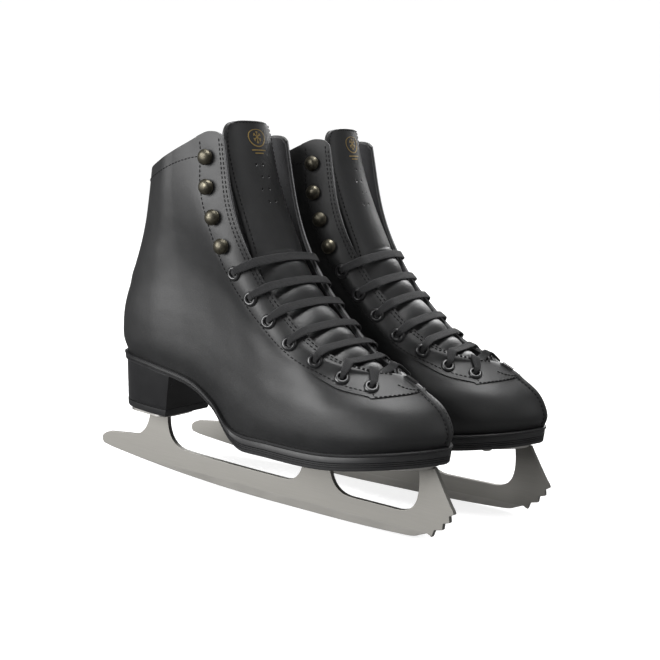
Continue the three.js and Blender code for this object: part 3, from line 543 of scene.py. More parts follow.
# ---- Lining --------------------------------------------------------------------------------------
# Matt black cloth over foam. The foam is thickest behind the ankle and dies out at the rim and
# under the facing, where the cloth is glued to the leather and turned at the edge.
cloth = Finish("lining_cloth", Roughness=0.9, Sheen_Weight=0.08, Sheen_Roughness=0.5)
cloth.set("Base Color", cloth.noise(220, 3).tint((0.009, 0.009, 0.010), (0.020, 0.020, 0.0215)))
warp = (cloth.part(2) * 4200).wave()
weft = ((cloth.part(0) + cloth.part(1)) * 4200).wave()
cloth.set("Normal", cloth.bump(warp * weft + 0.4 * cloth.noise(1500, 2), 0.12, 0.7))
FOAM = 3.0
EDGE_DEPTH = 3.3


def lining_depths(side, s, v):
    rear = np.interp(v, REAR_V, REAR_S)
    open_field = (1 - smooth(s, rear - 0.10, rear - 0.01)) * (1 - smooth(v, 0.87, 0.985))
    foam = FOAM * smooth(v, 0.35, 0.55) * (1 - smooth(v, 0.86, 0.99)) * (1 - smooth(s, 0.35, 0.6))
    far = EDGE_DEPTH + open_field * (4.3 + foam)
    near = QUARTER_THICK + 0.05 + open_field * (2.6 + np.minimum(foam, 3) * 0.9)
    return near, far


lining_s = np.linspace(0, 1, 80)[:, None]
lining_v = np.concatenate([np.linspace(0.03, 0.9, 52), np.linspace(0.91, 0.996, 12)])[None, :]
for skate in STANDS:
    for word, side in SIDES.items():
        s = lining_s * np.where(lining_v < THROAT, 1, 0.996)
        s, v = np.broadcast_arrays(s, lining_v)
        near, far = lining_depths(side, s, v)
        waves = mottle(surface(side, s, v) + 13.0, 22.0, 0.35)
        lining = piece(f"lining_cloth_{word}",
                       *sheet_between(lifted(side, s, v, -near), lifted(side, s, v, -far - waves)),
                       cloth, skate)
        soften(lining, 0.6)
        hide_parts(f"{skate}_lining_{word}")

# ---- Stitching -----------------------------------------------------------------------------------
# Lock stitches in black nylon thread, each a short bead that dips into the leather at both ends.
# The rows follow the facing's rear line, its front edge, the rim, the toe seam and the back strip.
thread = Finish("nylon_thread", Roughness=0.7, Specular_IOR_Level=0.2)
thread.set("Base Color", thread.noise(1500, 2).tint((0.0022, 0.0022, 0.0025),
                                                    (0.006, 0.006, 0.0065)))
thread.set("Normal", thread.bump((thread.part(2) * 9000 + thread.part(0) * 9000).wave(), 0.05, 0.5))


def bead(length, radius):
    rings = [(-0.5, 0.35, -0.9), (-0.34, 0.9, 0.0), (0, 1.0, 0.35), (0.34, 0.9, 0.0),
             (0.5, 0.35, -0.9)]
    points = []
    for where, size, rise in rings:
        for k in range(6):
            a = 2 * math.pi * k / 6
            points.append((where * length, radius * size * math.cos(a),
                           radius * (size * math.sin(a) + rise)))
    return np.array(points), rings_joined(len(rings), 6)


def copies(shape, frames):
    """One mesh of many copies, each at (place, forward, across, normal)."""
    points, faces = shape
    made = [place + points[:, :1] * forward + points[:, 1:2] * across + points[:, 2:] * normal
            for place, forward, across, normal in frames]
    count = len(points)
    return np.concatenate(made), [[k + n * count for k in face] for n in range(len(frames))
                                  for face in faces]


def spaced(places, normals, pitch):
    """Frames a pitch apart along a line of places."""
    gone = np.concatenate([[0], np.cumsum(np.linalg.norm(np.diff(places, axis=0), axis=1))])
    stops = np.arange(pitch / 2, gone[-1] - pitch / 2, pitch)
    at = np.stack([np.interp(stops, gone, places[:, k]) for k in range(3)], -1)
    before = np.stack([np.interp(stops - 0.6, gone, places[:, k]) for k in range(3)], -1)
    after = np.stack([np.interp(stops + 0.6, gone, places[:, k]) for k in range(3)], -1)
    normal = unit(np.stack([np.interp(stops, gone, normals[:, k]) for k in range(3)], -1))
    forward = unit(after - before)
    across = unit(np.cross(normal, forward))
    return list(zip(at, forward, across, np.cross(forward, across)))


def row_on(side, s, v, rise, pitch=3.1):
    s, v = np.broadcast_arrays(np.asarray(s, float), np.asarray(v, float))
    height = form_height(side, s, v) + rise
    return spaced(lifted(side, s, v, height), outward(side, s, v), pitch)


STITCH = bead(2.35, 0.36)
fine_t = np.linspace(0.0, 1, 300)
facing_width = np.linalg.norm(surface(1, *facing_at(fine_t, 1.0))
                              - surface(1, *facing_at(fine_t, 0.0)), axis=-1)
TOE_SEAM_V = np.linspace(0.02, THROAT - 0.012, 120)
SEAM_ROW = 3.6


def beside_seam(v, distance, front=True):
    """The s that lies a distance from the toe seam or the back seam."""
    edge, inner = (1.0, 0.97) if front else (0.0, 0.03)
    reach = np.linalg.norm(surface(1, inner, v) - surface(1, edge, v), axis=-1)
    return edge + (inner - edge) * distance / reach


BACK_STRIP = 8.5
back_v = np.linspace(0.01, 0.985, 200)
rim_s = np.linspace(0.07, 0.93, 260)
stitches = {}
for word, side in SIDES.items():
    rows = []
    t = fine_t[(facing_width > 5)]
    width = facing_width[(facing_width > 5)]
    keep = t < 0.985
    rows += row_on(side, *facing_at(t[keep], 1.6 / width[keep]), FACING_RISE + 0.1)
    upper = (t > 0.12) & keep
    rows += row_on(side, *facing_at(t[upper], 1 - 2.2 / width[upper]), FACING_RISE + 0.1)
    rows += row_on(side, *facing_at(t[upper], 1 - 5.0 / width[upper]), FACING_RISE + 0.1)
    rows += row_on(side, beside_seam(TOE_SEAM_V, SEAM_ROW), TOE_SEAM_V, 0.1)
    rows += row_on(side, rim_s[rim_s < 0.66], 0.962, 0.1)
    rows += row_on(side, beside_seam(back_v, BACK_STRIP - 1.6, False), back_v, 0.9)
    stitches[word] = copies(STITCH, rows)
for skate in STANDS:
    for word in SIDES:
        row = piece(f"stitching_{word}", *stitches[word], thread, skate)

# ---- Toe seam and bar tack -----------------------------------------------------------------------
# A raised welt covers the join of the two quarters from the throat down to the sole. Where the
# facings meet it, a bar tack of close stitches and a bow of stitches keep the throat from tearing.
WELT = [(-2.4, -0.8), (-2.1, 0.25), (-1.5, 0.95), (-0.7, 1.35), (0, 1.45), (0.7, 1.35), (1.5, 0.95),
        (2.1, 0.25), (2.4, -0.8)]


def moulding(centres, normals, across, profile, ends=0.35):
    """A strip of one cross-section, [across, height], along a line, rounded off at both ends."""
    n = len(centres)
    close = np.minimum(np.arange(n), np.arange(n)[::-1]) / (n - 1)
    size = np.sqrt(1 - (1 - np.clip(close / 0.03, 0, 1)) ** 2) * (1 - ends) + ends
    rings = np.stack([centres + normals * (h * size)[:, None] + across * (a * size)[:, None]
                      for a, h in profile], 1)
    return rings.reshape(-1, 3), rings_joined(n, len(profile))


seam_v = np.linspace(0.0, THROAT - 0.004, 90)
seam_line = surface(1, 1.0, seam_v)
seam_line[:, 1] = 0
seam_normal = outward(1, 1.0, seam_v)
seam_normal[:, 1] = 0
seam_normal = unit(seam_normal)
lateral_way = np.tile([0.0, 1.0, 0.0], (len(seam_line), 1))
raised = seam_line + seam_normal * (0.1 + 0.55 * smooth(seam_v, 0.26, 0.29))[:, None]
throat = seam_line[-1]
tack_frames = []
down_seam = unit(seam_line[-12] - throat)
for k in range(7):
    place = throat + down_seam * (2.2 + 1.3 * k) + seam_normal[-1] * 2.25
    tack_frames.append((place, np.array([0, 1.0, 0]), -down_seam, seam_normal[-1]))
for side in (-1, 1):
    bow = []
    for a in np.linspace(0.0, 1.5, 9):
        target = throat + down_seam * 15 * math.cos(a) + np.array([0, side * 13 * math.sin(a), 0])
        s, v = nearest(side, target)
        bow.append((s, v))
    bow = np.array(bow)
    tack_frames += row_on(side, bow[:, 0], bow[:, 1], FACING_RISE + 0.15, 2.6)
for skate in STANDS:
    welt = piece("toe_seam_welt", *moulding(raised, seam_normal, lateral_way, WELT), leather, skate,
                 crisp=60)
    long_bead = bead(7.5, 0.45)
    bars = piece("throat_bar_tack", *copies(long_bead, tack_frames[:7]), thread, skate)
    bow = piece("throat_stitching", *copies(STITCH, tack_frames[7:]), thread, skate)

# ---- Back strip ----------------------------------------------------------------------------------
# A strip of leather sewn over the back seam from the sole to the collar. It keeps the join of the
# two quarters from rubbing open.
strip_v = np.linspace(0.0, 0.997, 120)[:, None]
strip_u = np.linspace(-1, 1, 15)[None, :]
reach = beside_seam(strip_v, BACK_STRIP, False)
strip_s, strip_side = np.abs(strip_u) * reach, np.sign(strip_u)


def strip_at(rise):
    s, v = np.broadcast_arrays(strip_s, strip_v)
    both = {side: lifted(side, s, v, rise + form_height(side, s, v)) for side in (-1, 1)}
    points = np.where((strip_side < 0)[..., None], both[-1], both[1])
    points[..., 1] = np.where(np.abs(strip_u) < 1e-6, 0, points[..., 1])
    return points


for skate in STANDS:
    strip = piece("back_strip", *sheet_between(strip_at(0.8), strip_at(-0.5)), leather, skate)
    soften(strip, 0.35)

# ---- Eyelets -------------------------------------------------------------------------------------
# Rolled steel eyelets in glossy black enamel, clinched through the facing. Each is a rounded flange
# on a short barrel, with a bore for the lace.
enamel = Finish("black_enamel", Coat_Weight=0.25, Coat_Roughness=0.15, Specular_IOR_Level=0.45)
enamel.set("Base Color", enamel.noise(300, 2).tint((0.004, 0.004, 0.0045), (0.008, 0.008, 0.0085)))
enamel.set("Roughness", 0.26 + 0.12 * enamel.noise(420, 3))
EYELET = [(2.15, -4.6), (2.05, 0.2), (2.2, 1.1), (2.75, 1.75), (3.5, 1.95), (4.25, 1.7),
          (4.85, 1.1), (5.05, 0.5), (5.0, 0.0), (4.5, -0.15), (2.9, -0.2), (2.75, -4.6)]


def turned(profile, segments=36, closed=True):
    """A turned shape about its own normal. An open profile starts and ends on the axis."""
    points = []
    for r, h in profile:
        for k in range(segments):
            a = 2 * math.pi * k / segments
            points.append((r * math.cos(a), r * math.sin(a), h))
    return np.array(points), rings_joined(len(profile), segments, not closed, closed)


def on_facing(spot, rise=0.0):
    return (spot["place"] + spot["normal"] * rise, spot["edge"],
            np.cross(spot["normal"], spot["edge"]), spot["normal"])


for skate in STANDS:
    for word, side in SIDES.items():
        frames = [on_facing(spot, 0.45) for spot in SPOTS[side][:EYELETS]]
        row = piece(f"eyelet_rings_{word}", *copies(turned(EYELET, 40), frames), enamel, skate)
        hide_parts(f"{skate}_eyelets_{word}")

# ---- Hooks ---------------------------------------------------------------------------------------
# Pressed lace hooks in antiqued brass: a riveted foot, a curled neck on the side away from the
# tongue and a domed cap, open towards the tongue.
hook_brass = Finish("antique_brass", Metallic=1.0)
tarnish = hook_brass.noise(260, 4, 0.6).ramp(0.35, 0.7)
hook_brass.set("Base Color", tarnish.tint((0.050, 0.046, 0.036), (0.150, 0.138, 0.105)))
hook_brass.set("Roughness", 0.50 - 0.14 * tarnish)
hook_brass.set("Normal", hook_brass.bump(hook_brass.noise(900, 3), 0.03, 0.4))
FOOT = [(0.01, -4.0), (2.3, -4.0), (2.4, -0.1), (4.5, -0.1), (4.7, 0.25), (4.4, 0.75), (3.2, 0.95),
        (0.01, 1.0)]
CAP = [(0.01, 6.0), (1.5, 5.85), (3.0, 5.35), (4.3, 4.45), (5.1, 3.4), (5.35, 2.75), (5.1, 2.6),
       (4.75, 2.75), (4.0, 3.8), (2.8, 4.6), (1.4, 5.0), (0.01, 5.1)]


def neck():
    """The curled wall between foot and cap, round the rear of the hook."""
    points, n = [], 19
    for k in range(n):
        a = math.pi + math.radians(78) * (2 * k / (n - 1) - 1)
        for r, h in ((2.6, 0.7), (2.9, 2.0), (3.9, 3.7), (3.3, 4.2), (2.2, 2.2), (1.9, 0.7)):
            points.append((r * math.cos(a), r * math.sin(a), h))
    return np.array(points), rings_joined(n, 6)


for skate in STANDS:
    for word, side in SIDES.items():
        frames = [on_facing(spot, 0.75) for spot in SPOTS[side][EYELETS:]]
        parts = [copies(shape, frames)
                 for shape in (turned(FOOT, 36, False), turned(CAP, 40, False), neck())]
        names = ("hook_feet", "hook_caps", "hook_necks")
        for name, (points, faces) in zip(names, parts):
            made = piece(f"{name}_{word}", points, faces, hook_brass, skate, crisp=50)
            if name == "hook_feet":
                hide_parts(f"{skate}_hooks_{word}")

# ---- Tongue --------------------------------------------------------------------------------------
# A long padded leather tongue, felt behind, bound in one row of stitches. The laces press it in and
# it swells between them.
TONGUE = [[88, 7, 98], [80, 13, 103.5], [68, 20, 110.5], [55, 26.5, 119.5], [43, 30.5, 129],
          [31, 32, 138.5], [20.5, 33, 149], [11, 32, 160], [3.5, 31, 170.5], [-3.5, 30.3, 181],
          [-9.6, 29.8, 191.5], [-16, 29.2, 203], [-22, 29, 215.5], [-27.2, 29, 228],
          [-31.2, 29, 239.5], [-34.6, 27.5, 250.5], [-36.3, 23, 256.5], [-36.8, 14, 258.2]]
TONGUE_LEATHER, TONGUE_FELT = 2.2, 2.0
tongue_line = np.array(TONGUE, float)


def tongue_frame(t):
    t = np.asarray(t, float)
    at = along(tongue_line, t)
    way = along(tongue_line, np.minimum(t + 0.01, 1)) - along(tongue_line, np.maximum(t - 0.01, 0))
    front = unit(np.stack([way[..., 2], 0 * t, -way[..., 0]], -1))
    return at, front


def tongue_at(t, share, height):
    """A point on the tongue, at t up it and a share of its half width from the middle."""
    t, share, height = np.broadcast_arrays(np.asarray(t, float), np.asarray(share, float), height)
    at, front = tongue_frame(t)
    arch = 0.011 - 0.0035 * smooth(t, 0.42, 0.55)
    y = at[..., 1] * share
    points = np.stack([at[..., 0], y, at[..., 2]], -1)
    return points + front * (height - arch * y * y)[..., None]


tongue_t = np.linspace(0, 1, 260)
tongue_mid = tongue_at(tongue_t, 0.0, 0.0)


def nearest_on_tongue(point):
    return tongue_t[np.argmin(np.hypot(tongue_mid[:, 0] - point[0], tongue_mid[:, 2] - point[2]))]


def lace_edge(side, spot):
    v = nearest_edge(side, spot["place"])
    return surface(side, 1.0, v) + outward(side, 1.0, v) * 2.5


bar_t = []
for row in range(EYELETS):
    ends = [lace_edge(side, SPOTS[side][row]) for side in (-1, 1)]
    bar_t.append(nearest_on_tongue((ends[0] + ends[1]) / 2))
BAR_GAP = 0.055


def tongue_swell(t, share):
    height = 0.9 * (1 - np.abs(share) ** 6)
    for where in bar_t:
        height = height - 1.5 * np.exp(-(((t - where) / (0.36 * BAR_GAP)) ** 2)) * (1 - share ** 4)
    height = height + 1.0 * (1 - share ** 2) * (t < bar_t[-1] + 0.02)
    return height


def edge_round(t, share):
    """From 1 in the field to 0 at the side and top edges."""
    sides = np.sqrt(np.clip(1 - np.abs(share) ** 14, 0, 1))
    top = np.sqrt(np.clip(1 - np.clip((t - 0.955) / 0.045, 0, 1) ** 3, 0, 1))
    return sides * top


sheet_t = np.concatenate([np.linspace(0, 0.94, 150), np.linspace(0.945, 1, 18)])[:, None]
sheet_share = np.array([-1, -0.99, -0.975, -0.95, *np.linspace(-0.9, 0.9, 37), 0.95, 0.975, 0.99,
                        1])[None, :]
rounding = edge_round(sheet_t, sheet_share)
ripple = mottle(tongue_at(sheet_t, sheet_share, 0.0), 26.0, 0.45)
front_face = tongue_at(sheet_t, sheet_share,
                       (tongue_swell(sheet_t, sheet_share) + ripple) * rounding
                       - 1.2 * (1 - rounding))
seam_face = tongue_at(sheet_t, sheet_share, -TONGUE_LEATHER + 0.4 * (1 - rounding))
felt_front = tongue_at(sheet_t, sheet_share * 0.985, -TONGUE_LEATHER - 0.05)
felt_back = tongue_at(sheet_t, sheet_share * 0.985,
                      -TONGUE_LEATHER - 0.3 - (TONGUE_FELT - 0.3) * rounding)
tongue_leather = leather_finish("tongue_leather", (0.0050, 0.0051, 0.0054),
                                (0.0085, 0.0086, 0.0090), 0.38, 0.8)

# Two staggered columns of small breathing holes are punched through the leather of the upper half.
HOLES = [(0.655, -2.6), (0.655, 5.4), (0.693, -6.4), (0.693, 1.6), (0.731, -2.6), (0.731, 5.4),
         (0.769, -6.4), (0.769, 1.6)]
HOLE_RADIUS = 0.75


def tongue_spot(t, across, height=0.0):
    """Place, forward, across and normal of a spot on the tongue's front."""
    at, front = tongue_frame(np.array(t))
    share = across / at[1]
    here = tongue_at(t, share, tongue_swell(t, share) + height)
    ahead = unit(tongue_at(t + 0.004, share, 0.0) - tongue_at(t - 0.004, share, 0.0))
    beside = unit(tongue_at(t, share + 0.02, 0.0) - tongue_at(t, share - 0.02, 0.0))
    return here, ahead, beside, unit(np.cross(ahead, beside)) * np.sign(
        np.dot(np.cross(ahead, beside), front))


def tongue_blend(thing):
    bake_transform(thing)


for skate in STANDS:
    ends = placed(tongue_at(np.array([0.475, 0.56]), 0.0, 0.0), skate)
punch_profile = [(0.01, -TONGUE_LEATHER + 0.5), (HOLE_RADIUS, -TONGUE_LEATHER + 0.5),
                 (HOLE_RADIUS, 1.5), (0.01, 1.5)]
tongue_row = []
for share in (-0.93, 0.93):
    line = np.linspace(0.05, 0.945, 240)
    at = tongue_at(line, share, tongue_swell(line, share) * edge_round(line, share) - 0.1)
    tongue_row += spaced(at, tongue_frame(line)[1], 3.1)
share = np.linspace(-0.86, 0.86, 60)
at = tongue_at(0.945, share, tongue_swell(0.945, share) * edge_round(0.945, share) - 0.1)
tongue_row += spaced(at, np.tile(tongue_frame(np.array(0.945))[1], (60, 1)), 3.1)
for skate in STANDS:
    tongue = piece("tongue_leather", *sheet_between(front_face, seam_face), tongue_leather, skate,
                   None, crisp=60)
    punch = piece("punch", *copies(turned(punch_profile, 20, False),
                                   [tongue_spot(*hole) for hole in HOLES]), thread, skate,
                  None)
    apply(tongue, "BOOLEAN", object=punch, operation="DIFFERENCE", solver="EXACT")
    bpy.data.objects.remove(punch)
    tongue_blend(tongue)
    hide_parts(f"{skate}_tongue_lower", f"{skate}_tongue_upper")
    felt = piece("tongue_felt", *sheet_between(felt_front, felt_back), cloth, skate, None,
                 crisp=60)
    tongue_blend(felt)
    sewn = piece("tongue_stitching", *copies(STITCH, tongue_row), thread, skate, None)
    tongue_blend(sewn)

# ---- Tongue badge --------------------------------------------------------------------------------
# Thin gold foil, pressed on: a plain oval with a six-armed snow crystal, over two short rules.
foil = Finish("gold_foil", Metallic=1.0)
foil.set("Base Color", foil.noise(500, 3).tint((0.42, 0.29, 0.10), (0.62, 0.44, 0.17)))
foil.set("Roughness", 0.30 + 0.15 * foil.noise(800, 2))
BADGE_T = 0.862
T_PER_MM = 0.00485
lines = [[(9.5 * math.cos(a), 6.6 * math.sin(a)) for a in np.linspace(0, 2 * math.pi, 49)]]
for k in range(3):
    a = math.pi * k / 3 + math.pi / 6
    lines.append([(q * math.cos(a), q * math.sin(a)) for q in np.linspace(-4.6, 4.6, 9)])
for k in range(6):
    a = math.pi * k / 3 + math.pi / 6
    for turn in (-0.75, 0.75):
        lines.append([(3.0 * math.cos(a) + q * math.cos(a + turn), 3.0 * math.sin(a)
                       + q * math.sin(a + turn)) for q in np.linspace(0, 1.7, 4)])
lines.append([(q, -9.2) for q in np.linspace(-8, 8, 12)])
lines.append([(q, -11.4) for q in np.linspace(-5, 5, 8)])


def foil_line(points, width=0.75, thick=0.12):
    flat = np.array(points)
    way = np.gradient(flat, axis=0)
    way = way / np.linalg.norm(way, axis=1, keepdims=True)
    side = np.stack([-way[:, 1], way[:, 0]], -1) * width / 2
    rings = []
    for p, q in zip(flat, side):
        ring = []
        for sign, rise in ((-1, -0.1), (-1, thick), (1, thick), (1, -0.1)):
            across, upward = p + sign * q
            ring.append(tongue_spot(BADGE_T + upward * T_PER_MM, across, rise)[0])
        rings.append(ring)
    return np.array(rings).reshape(-1, 3), rings_joined(len(rings), 4)


badge_points, badge_faces = [], []
for line in lines:
    points, faces = foil_line(line)
    shift = sum(len(p) for p in badge_points)
    badge_points.append(points)
    badge_faces += [[k + shift for k in face] for face in faces]
for skate in STANDS:
    badge = piece("tongue_badge", np.concatenate(badge_points), badge_faces, foil, skate, None)
    tongue_blend(badge)

# ---- Lace ----------------------------------------------------------------------------------------
# One flat braided lace, 6.4 mm wide. It comes up through each eyelet and crosses the tongue in a
# bar, and it runs on to the next row inside the boot. Its ends are tucked in.
LACE_WIDTH, LACE_THICK = 6.4, 1.15
braid = Finish("braided_lace", Roughness=0.85, Sheen_Weight=0.05, Specular_IOR_Level=0.25)
weave = braid.start.node("TexCoord", out=2)
across_lace, down_lace = braid.part(0, weave), braid.part(1, weave)
fold = braid.start.node("Math", {"operation": "ABSOLUTE"}, {0: across_lace - 0.5})
plait_and_painted_shade = ((down_lace + fold * 7.0) * 5.2).wave()
ribs = (across_lace * 44.0).wave()
# The braid is coloured darker in the grooves of its plait and lighter on its ridges: painted shade.
braid.set("Base Color", (plait_and_painted_shade * 0.5 + 0.5).tint((0.0035, 0.0035, 0.0038), (0.013, 0.013, 0.014)))
braid.set("Normal", braid.bump(plait_and_painted_shade * 0.6 + ribs * 0.4, 0.22, 0.8))


def lace_stops():
    """Stops along the lace as (place, across, width, thickness)."""
    stops = []
    for row in range(EYELETS):
        first = -1 if row % 2 == 0 else 1
        a, b = SPOTS[first][row], SPOTS[-first][row]
        edge_a, edge_b = lace_edge(first, a), lace_edge(-first, b)
        t = nearest_on_tongue((edge_a + edge_b) / 2)
        middle = tongue_at(t, 0.0, tongue_swell(t, 0.0) + 0.9)
        across = a["up"] + b["up"]
        across = unit(np.array([across[0], 0, across[2]]))

        def through_eyelet(spot):
            def at(rise, edgeward, width, thick):
                return (spot["place"] + spot["normal"] * rise + spot["edge"] * edgeward,
                        spot["up"], width, thick)
            return [at(-9.0, -1.0, 3.0, 1.6), at(-3.0, 0, 2.6, 1.9), at(1.6, 0.2, 2.6, 1.9),
                    at(3.3, 1.6, 3.6, 1.6), at(3.5, 4.6, 5.0, 1.25)]

        def bar(k):
            left, mid, right = 2 * (k - 0.5) * (k - 1), -4 * k * (k - 1), 2 * k * (k - 0.5)
            place = edge_a * left + middle * mid + edge_b * right
            return place, across, LACE_WIDTH, LACE_THICK

        stops += through_eyelet(a)
        stops += [bar(k) for k in (0.0, 0.14, 0.3, 0.5, 0.7, 0.86, 1.0)]
        stops += through_eyelet(b)[::-1]
    return stops


def ribbon(stops, samples=5):
    """A flat braid through its stops, with a soft edge, and its weave coordinates."""
    count = (len(stops) - 1) * samples + 1
    t = np.linspace(0, 1, count)
    place = along([p for p, *_ in stops], t)
    sides, last = [], None
    for _, side, *_ in stops:
        if last is not None and np.dot(side, last) < 0:
            side = -side
        sides.append(side)
        last = side
    across = along(sides, t)
    size = along([(w, h, 0) for *_, w, h in stops], t)
    way = unit(np.gradient(place, axis=0))
    across = unit(across - way * np.sum(across * way, -1, keepdims=True))
    lift = np.cross(way, across)
    shares = np.array([-1, -0.93, -0.8, -0.5, -0.2, 0.2, 0.5, 0.8, 0.93, 1])
    crown = np.sqrt(1 - np.abs(shares) ** 8) + 0.02
    loop = [(a, c) for a, c in zip(shares, crown)] + [(a, -c) for a, c in zip(shares, crown)][::-1]
    gone = np.concatenate([[0], np.cumsum(np.linalg.norm(np.diff(place, axis=0), axis=1))])
    rings = np.stack([place + across * (size[:, :1] * a / 2) + lift * (size[:, 1:2] * c / 2)
                      for a, c in loop], 1)
    weave_at = np.stack([np.stack([np.full(count, a / 2 + 0.5), gone], -1) for a, _ in loop], 1)
    return rings.reshape(-1, 3), rings_joined(count, len(loop)), weave_at.reshape(-1, 2)


lace_points, lace_faces, lace_weave = ribbon(lace_stops())
for skate in STANDS:
    lace = piece("braided_lace", lace_points, lace_faces, braid, skate, uv=lace_weave, crisp=60)
    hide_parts(f"{skate}_lace")

# ---- Sole ----------------------------------------------------------------------------------------
# A moulded rubber midsole with a welt round the upper, on an outsole with grooves round its edge.
# Both thin out under the waist, and run back over the heel block.
rubber = Finish("moulded_rubber", Specular_IOR_Level=0.3)
rubber.set("Base Color", rubber.noise(120, 3).tint((0.0070, 0.0070, 0.0075),
                                                   (0.013, 0.013, 0.0135)))
rubber.set("Roughness", 0.36 + 0.14 * rubber.noise(160, 4))
rubber.set("Normal", rubber.bump(rubber.noise(1700, 3), 0.03, 0.5))
SOLE_FRONT, SOLE_WAIST = 10, 4


def outline(out, count=110):
    """The featherline in plan, moved outwards: the lateral side and then the medial one."""
    sides = []
    s = np.linspace(0, 1, count + 1)
    for side in (-1, 1):
        row = NETS[side][0]
        p = along(row, s, True)
        ahead, behind = along(row, s + 0.002, True), along(row, s - 0.002, True)
        ahead[-1] = along(row, np.array([0.998]), True)[0] * (1, -1, 1)
        behind[0] = along(row, np.array([0.002]), True)[0] * (1, -1, 1)
        d = unit((ahead - behind)[:, :2])
        x, w = p[:, 0] - d[:, 1] * out, p[:, 1] + d[:, 0] * out
        sides.append(np.stack([x, side * np.maximum(w, 0)], -1))
    return sides


feather = along(NETS[-1][0], np.linspace(0, 1, 800), True)


def feather_z(x):
    return np.interp(x, feather[:, 0], feather[:, 2])


def sole_thick(x):
    return SOLE_WAIST + (SOLE_FRONT - SOLE_WAIST) * smooth(x, -24, 4)


def stacked(rings):
    """A closed body of rings, top to bottom. Each is (outline sides, heights over x)."""
    points = []
    n = len(rings[0][0][0])
    for (lateral, medial), height in rings:
        for side in (lateral, medial[::-1]):
            points += [(x, y, float(height(x)) if callable(height) else height) for x, y in side]
    m = 2 * n
    faces = rings_joined(len(rings), m, caps=False)
    for base, turn in ((0, 1), ((len(rings) - 1) * m, -1)):
        for k in range(n - 1):
            faces.append([base + k, base + k + 1, base + m - 2 - k, base + m - 1 - k][::turn])
    return np.array(points, float), faces


def sole_height(share, drop):
    return lambda x: feather_z(x) - 0.03 - sole_thick(x) * share + drop


# Each ring of the two soles: how far out, its share of the thickness, and a drop.
MIDSOLE = [(-3, 0.0, 0.0), (0.9, 0.0, 0.0), (2.5, 0.0, -0.1), (2.95, 0.05, -0.15),
           (2.9, 0.10, -0.35), (2.3, 0.13, -0.5), (1.95, 0.16, -0.6), (2.0, 0.20, -0.6),
           (2.2, 0.24, -0.6), (2.25, 0.52, -0.6), (2.0, 0.545, -0.6), (-3, 0.55, -0.6)]
OUTSOLE = [(-3, 0.555, -0.6), (1.6, 0.555, -0.6), (2.15, 0.58, -0.6), (2.15, 0.64, -0.6),
           (1.5, 0.66, -0.6), (1.5, 0.69, -0.6), (2.1, 0.71, -0.6), (2.1, 0.77, -0.6),
           (1.45, 0.79, -0.6), (1.45, 0.82, -0.6), (2.0, 0.84, -0.6), (1.9, 0.97, -0.9),
           (1.4, 1.0, -1.2), (-3, 1.0, -1.25)]
for skate in STANDS:
    for name, table, node in (("midsole_band", MIDSOLE, "midsole"),
                              ("grooved_outsole", OUTSOLE, "outsole")):
        rings = [(outline(out), sole_height(share, drop)) for out, share, drop in table]
        sole = piece(name, *stacked(rings), rubber, skate, crisp=35)
        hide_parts(f"{skate}_{node}")

# ---- Heel ----------------------------------------------------------------------------------------
# A moulded block, D-shaped in plan with a flat breast, that narrows a little downwards. A rubber
# top piece closes it, and takes the blade's rear plate.
gloss = Finish("moulded_heel", Specular_IOR_Level=0.35)
gloss.set("Base Color", gloss.noise(90, 2).tint((0.0045, 0.0045, 0.0050), (0.0080, 0.0080, 0.0085)))
gloss.set("Roughness", 0.24 + 0.12 * gloss.noise(110, 4))
gloss.set("Normal", gloss.bump(gloss.noise(260, 3), 0.05, 0.3))
HEEL_BREAST, HEEL_MIDDLE = -69, -94
HEEL_JOINT, HEEL_FOOT = 52, 47


def heel_ring(out, shrink):
    """The heel's plan with rounded breast corners, shrunk towards its middle."""
    ring = []
    for side in outline(out, 160):
        x, y = side[:, 0], side[:, 1]
        keep = x < HEEL_BREAST
        ends = np.interp(np.array([HEEL_BREAST]), x[x < 0], y[x < 0])
        xs = np.concatenate([x[keep], [HEEL_BREAST]])
        ys = np.concatenate([y[keep], ends])
        t = np.linspace(0, 1, 46)
        gone = np.concatenate([[0], np.cumsum(np.hypot(np.diff(xs), np.diff(ys)))])
        px, py = np.interp(t * gone[-1], gone, xs), np.interp(t * gone[-1], gone, ys)
        px = HEEL_MIDDLE + (px - HEEL_MIDDLE) * (1 - shrink)
        ring.append(np.stack([px, py * (1 - shrink)], -1))
    return ring


def under_sole(extra):
    return lambda x: feather_z(min(x, HEEL_BREAST)) - 1.28 - SOLE_WAIST + extra


# Each ring of the block and of the top piece: how far out, how shrunk, and its height.
BLOCK = [(0.0, 0.0, under_sole(0.1)), (0.6, 0.0, under_sole(-0.1)), (0.7, 0.004, under_sole(-1.2)),
         (0.6, 0.05, 66.0), (0.55, 0.09, 55.0), (0.5, 0.098, HEEL_JOINT + 0.75),
         (0.1, 0.1, HEEL_JOINT + 0.25)]
TOP_PIECE = [(0.1, 0.1, HEEL_JOINT + 0.15), (0.7, 0.1, HEEL_JOINT - 0.2),
             (0.75, 0.102, HEEL_JOINT - 0.9), (0.6, 0.115, HEEL_FOOT + 0.9),
             (0.3, 0.12, HEEL_FOOT + 0.3), (-0.4, 0.122, HEEL_FOOT)]
for skate in STANDS:
    for name, table, node, look, slot in (
            ("moulded_heel_block", BLOCK, "heel_block", gloss, "heel_plastic"),
            ("rubber_top_piece", TOP_PIECE, "heel_top_piece", rubber, "sole_rubber")):
        rings = [(heel_ring(out, shrink), height) for out, shrink, height in table]
        heel = piece(name, *stacked(rings), look, skate, crisp=35)
        soften(heel, 0.5, 3, 60)
        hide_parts(f"{skate}_{node}")

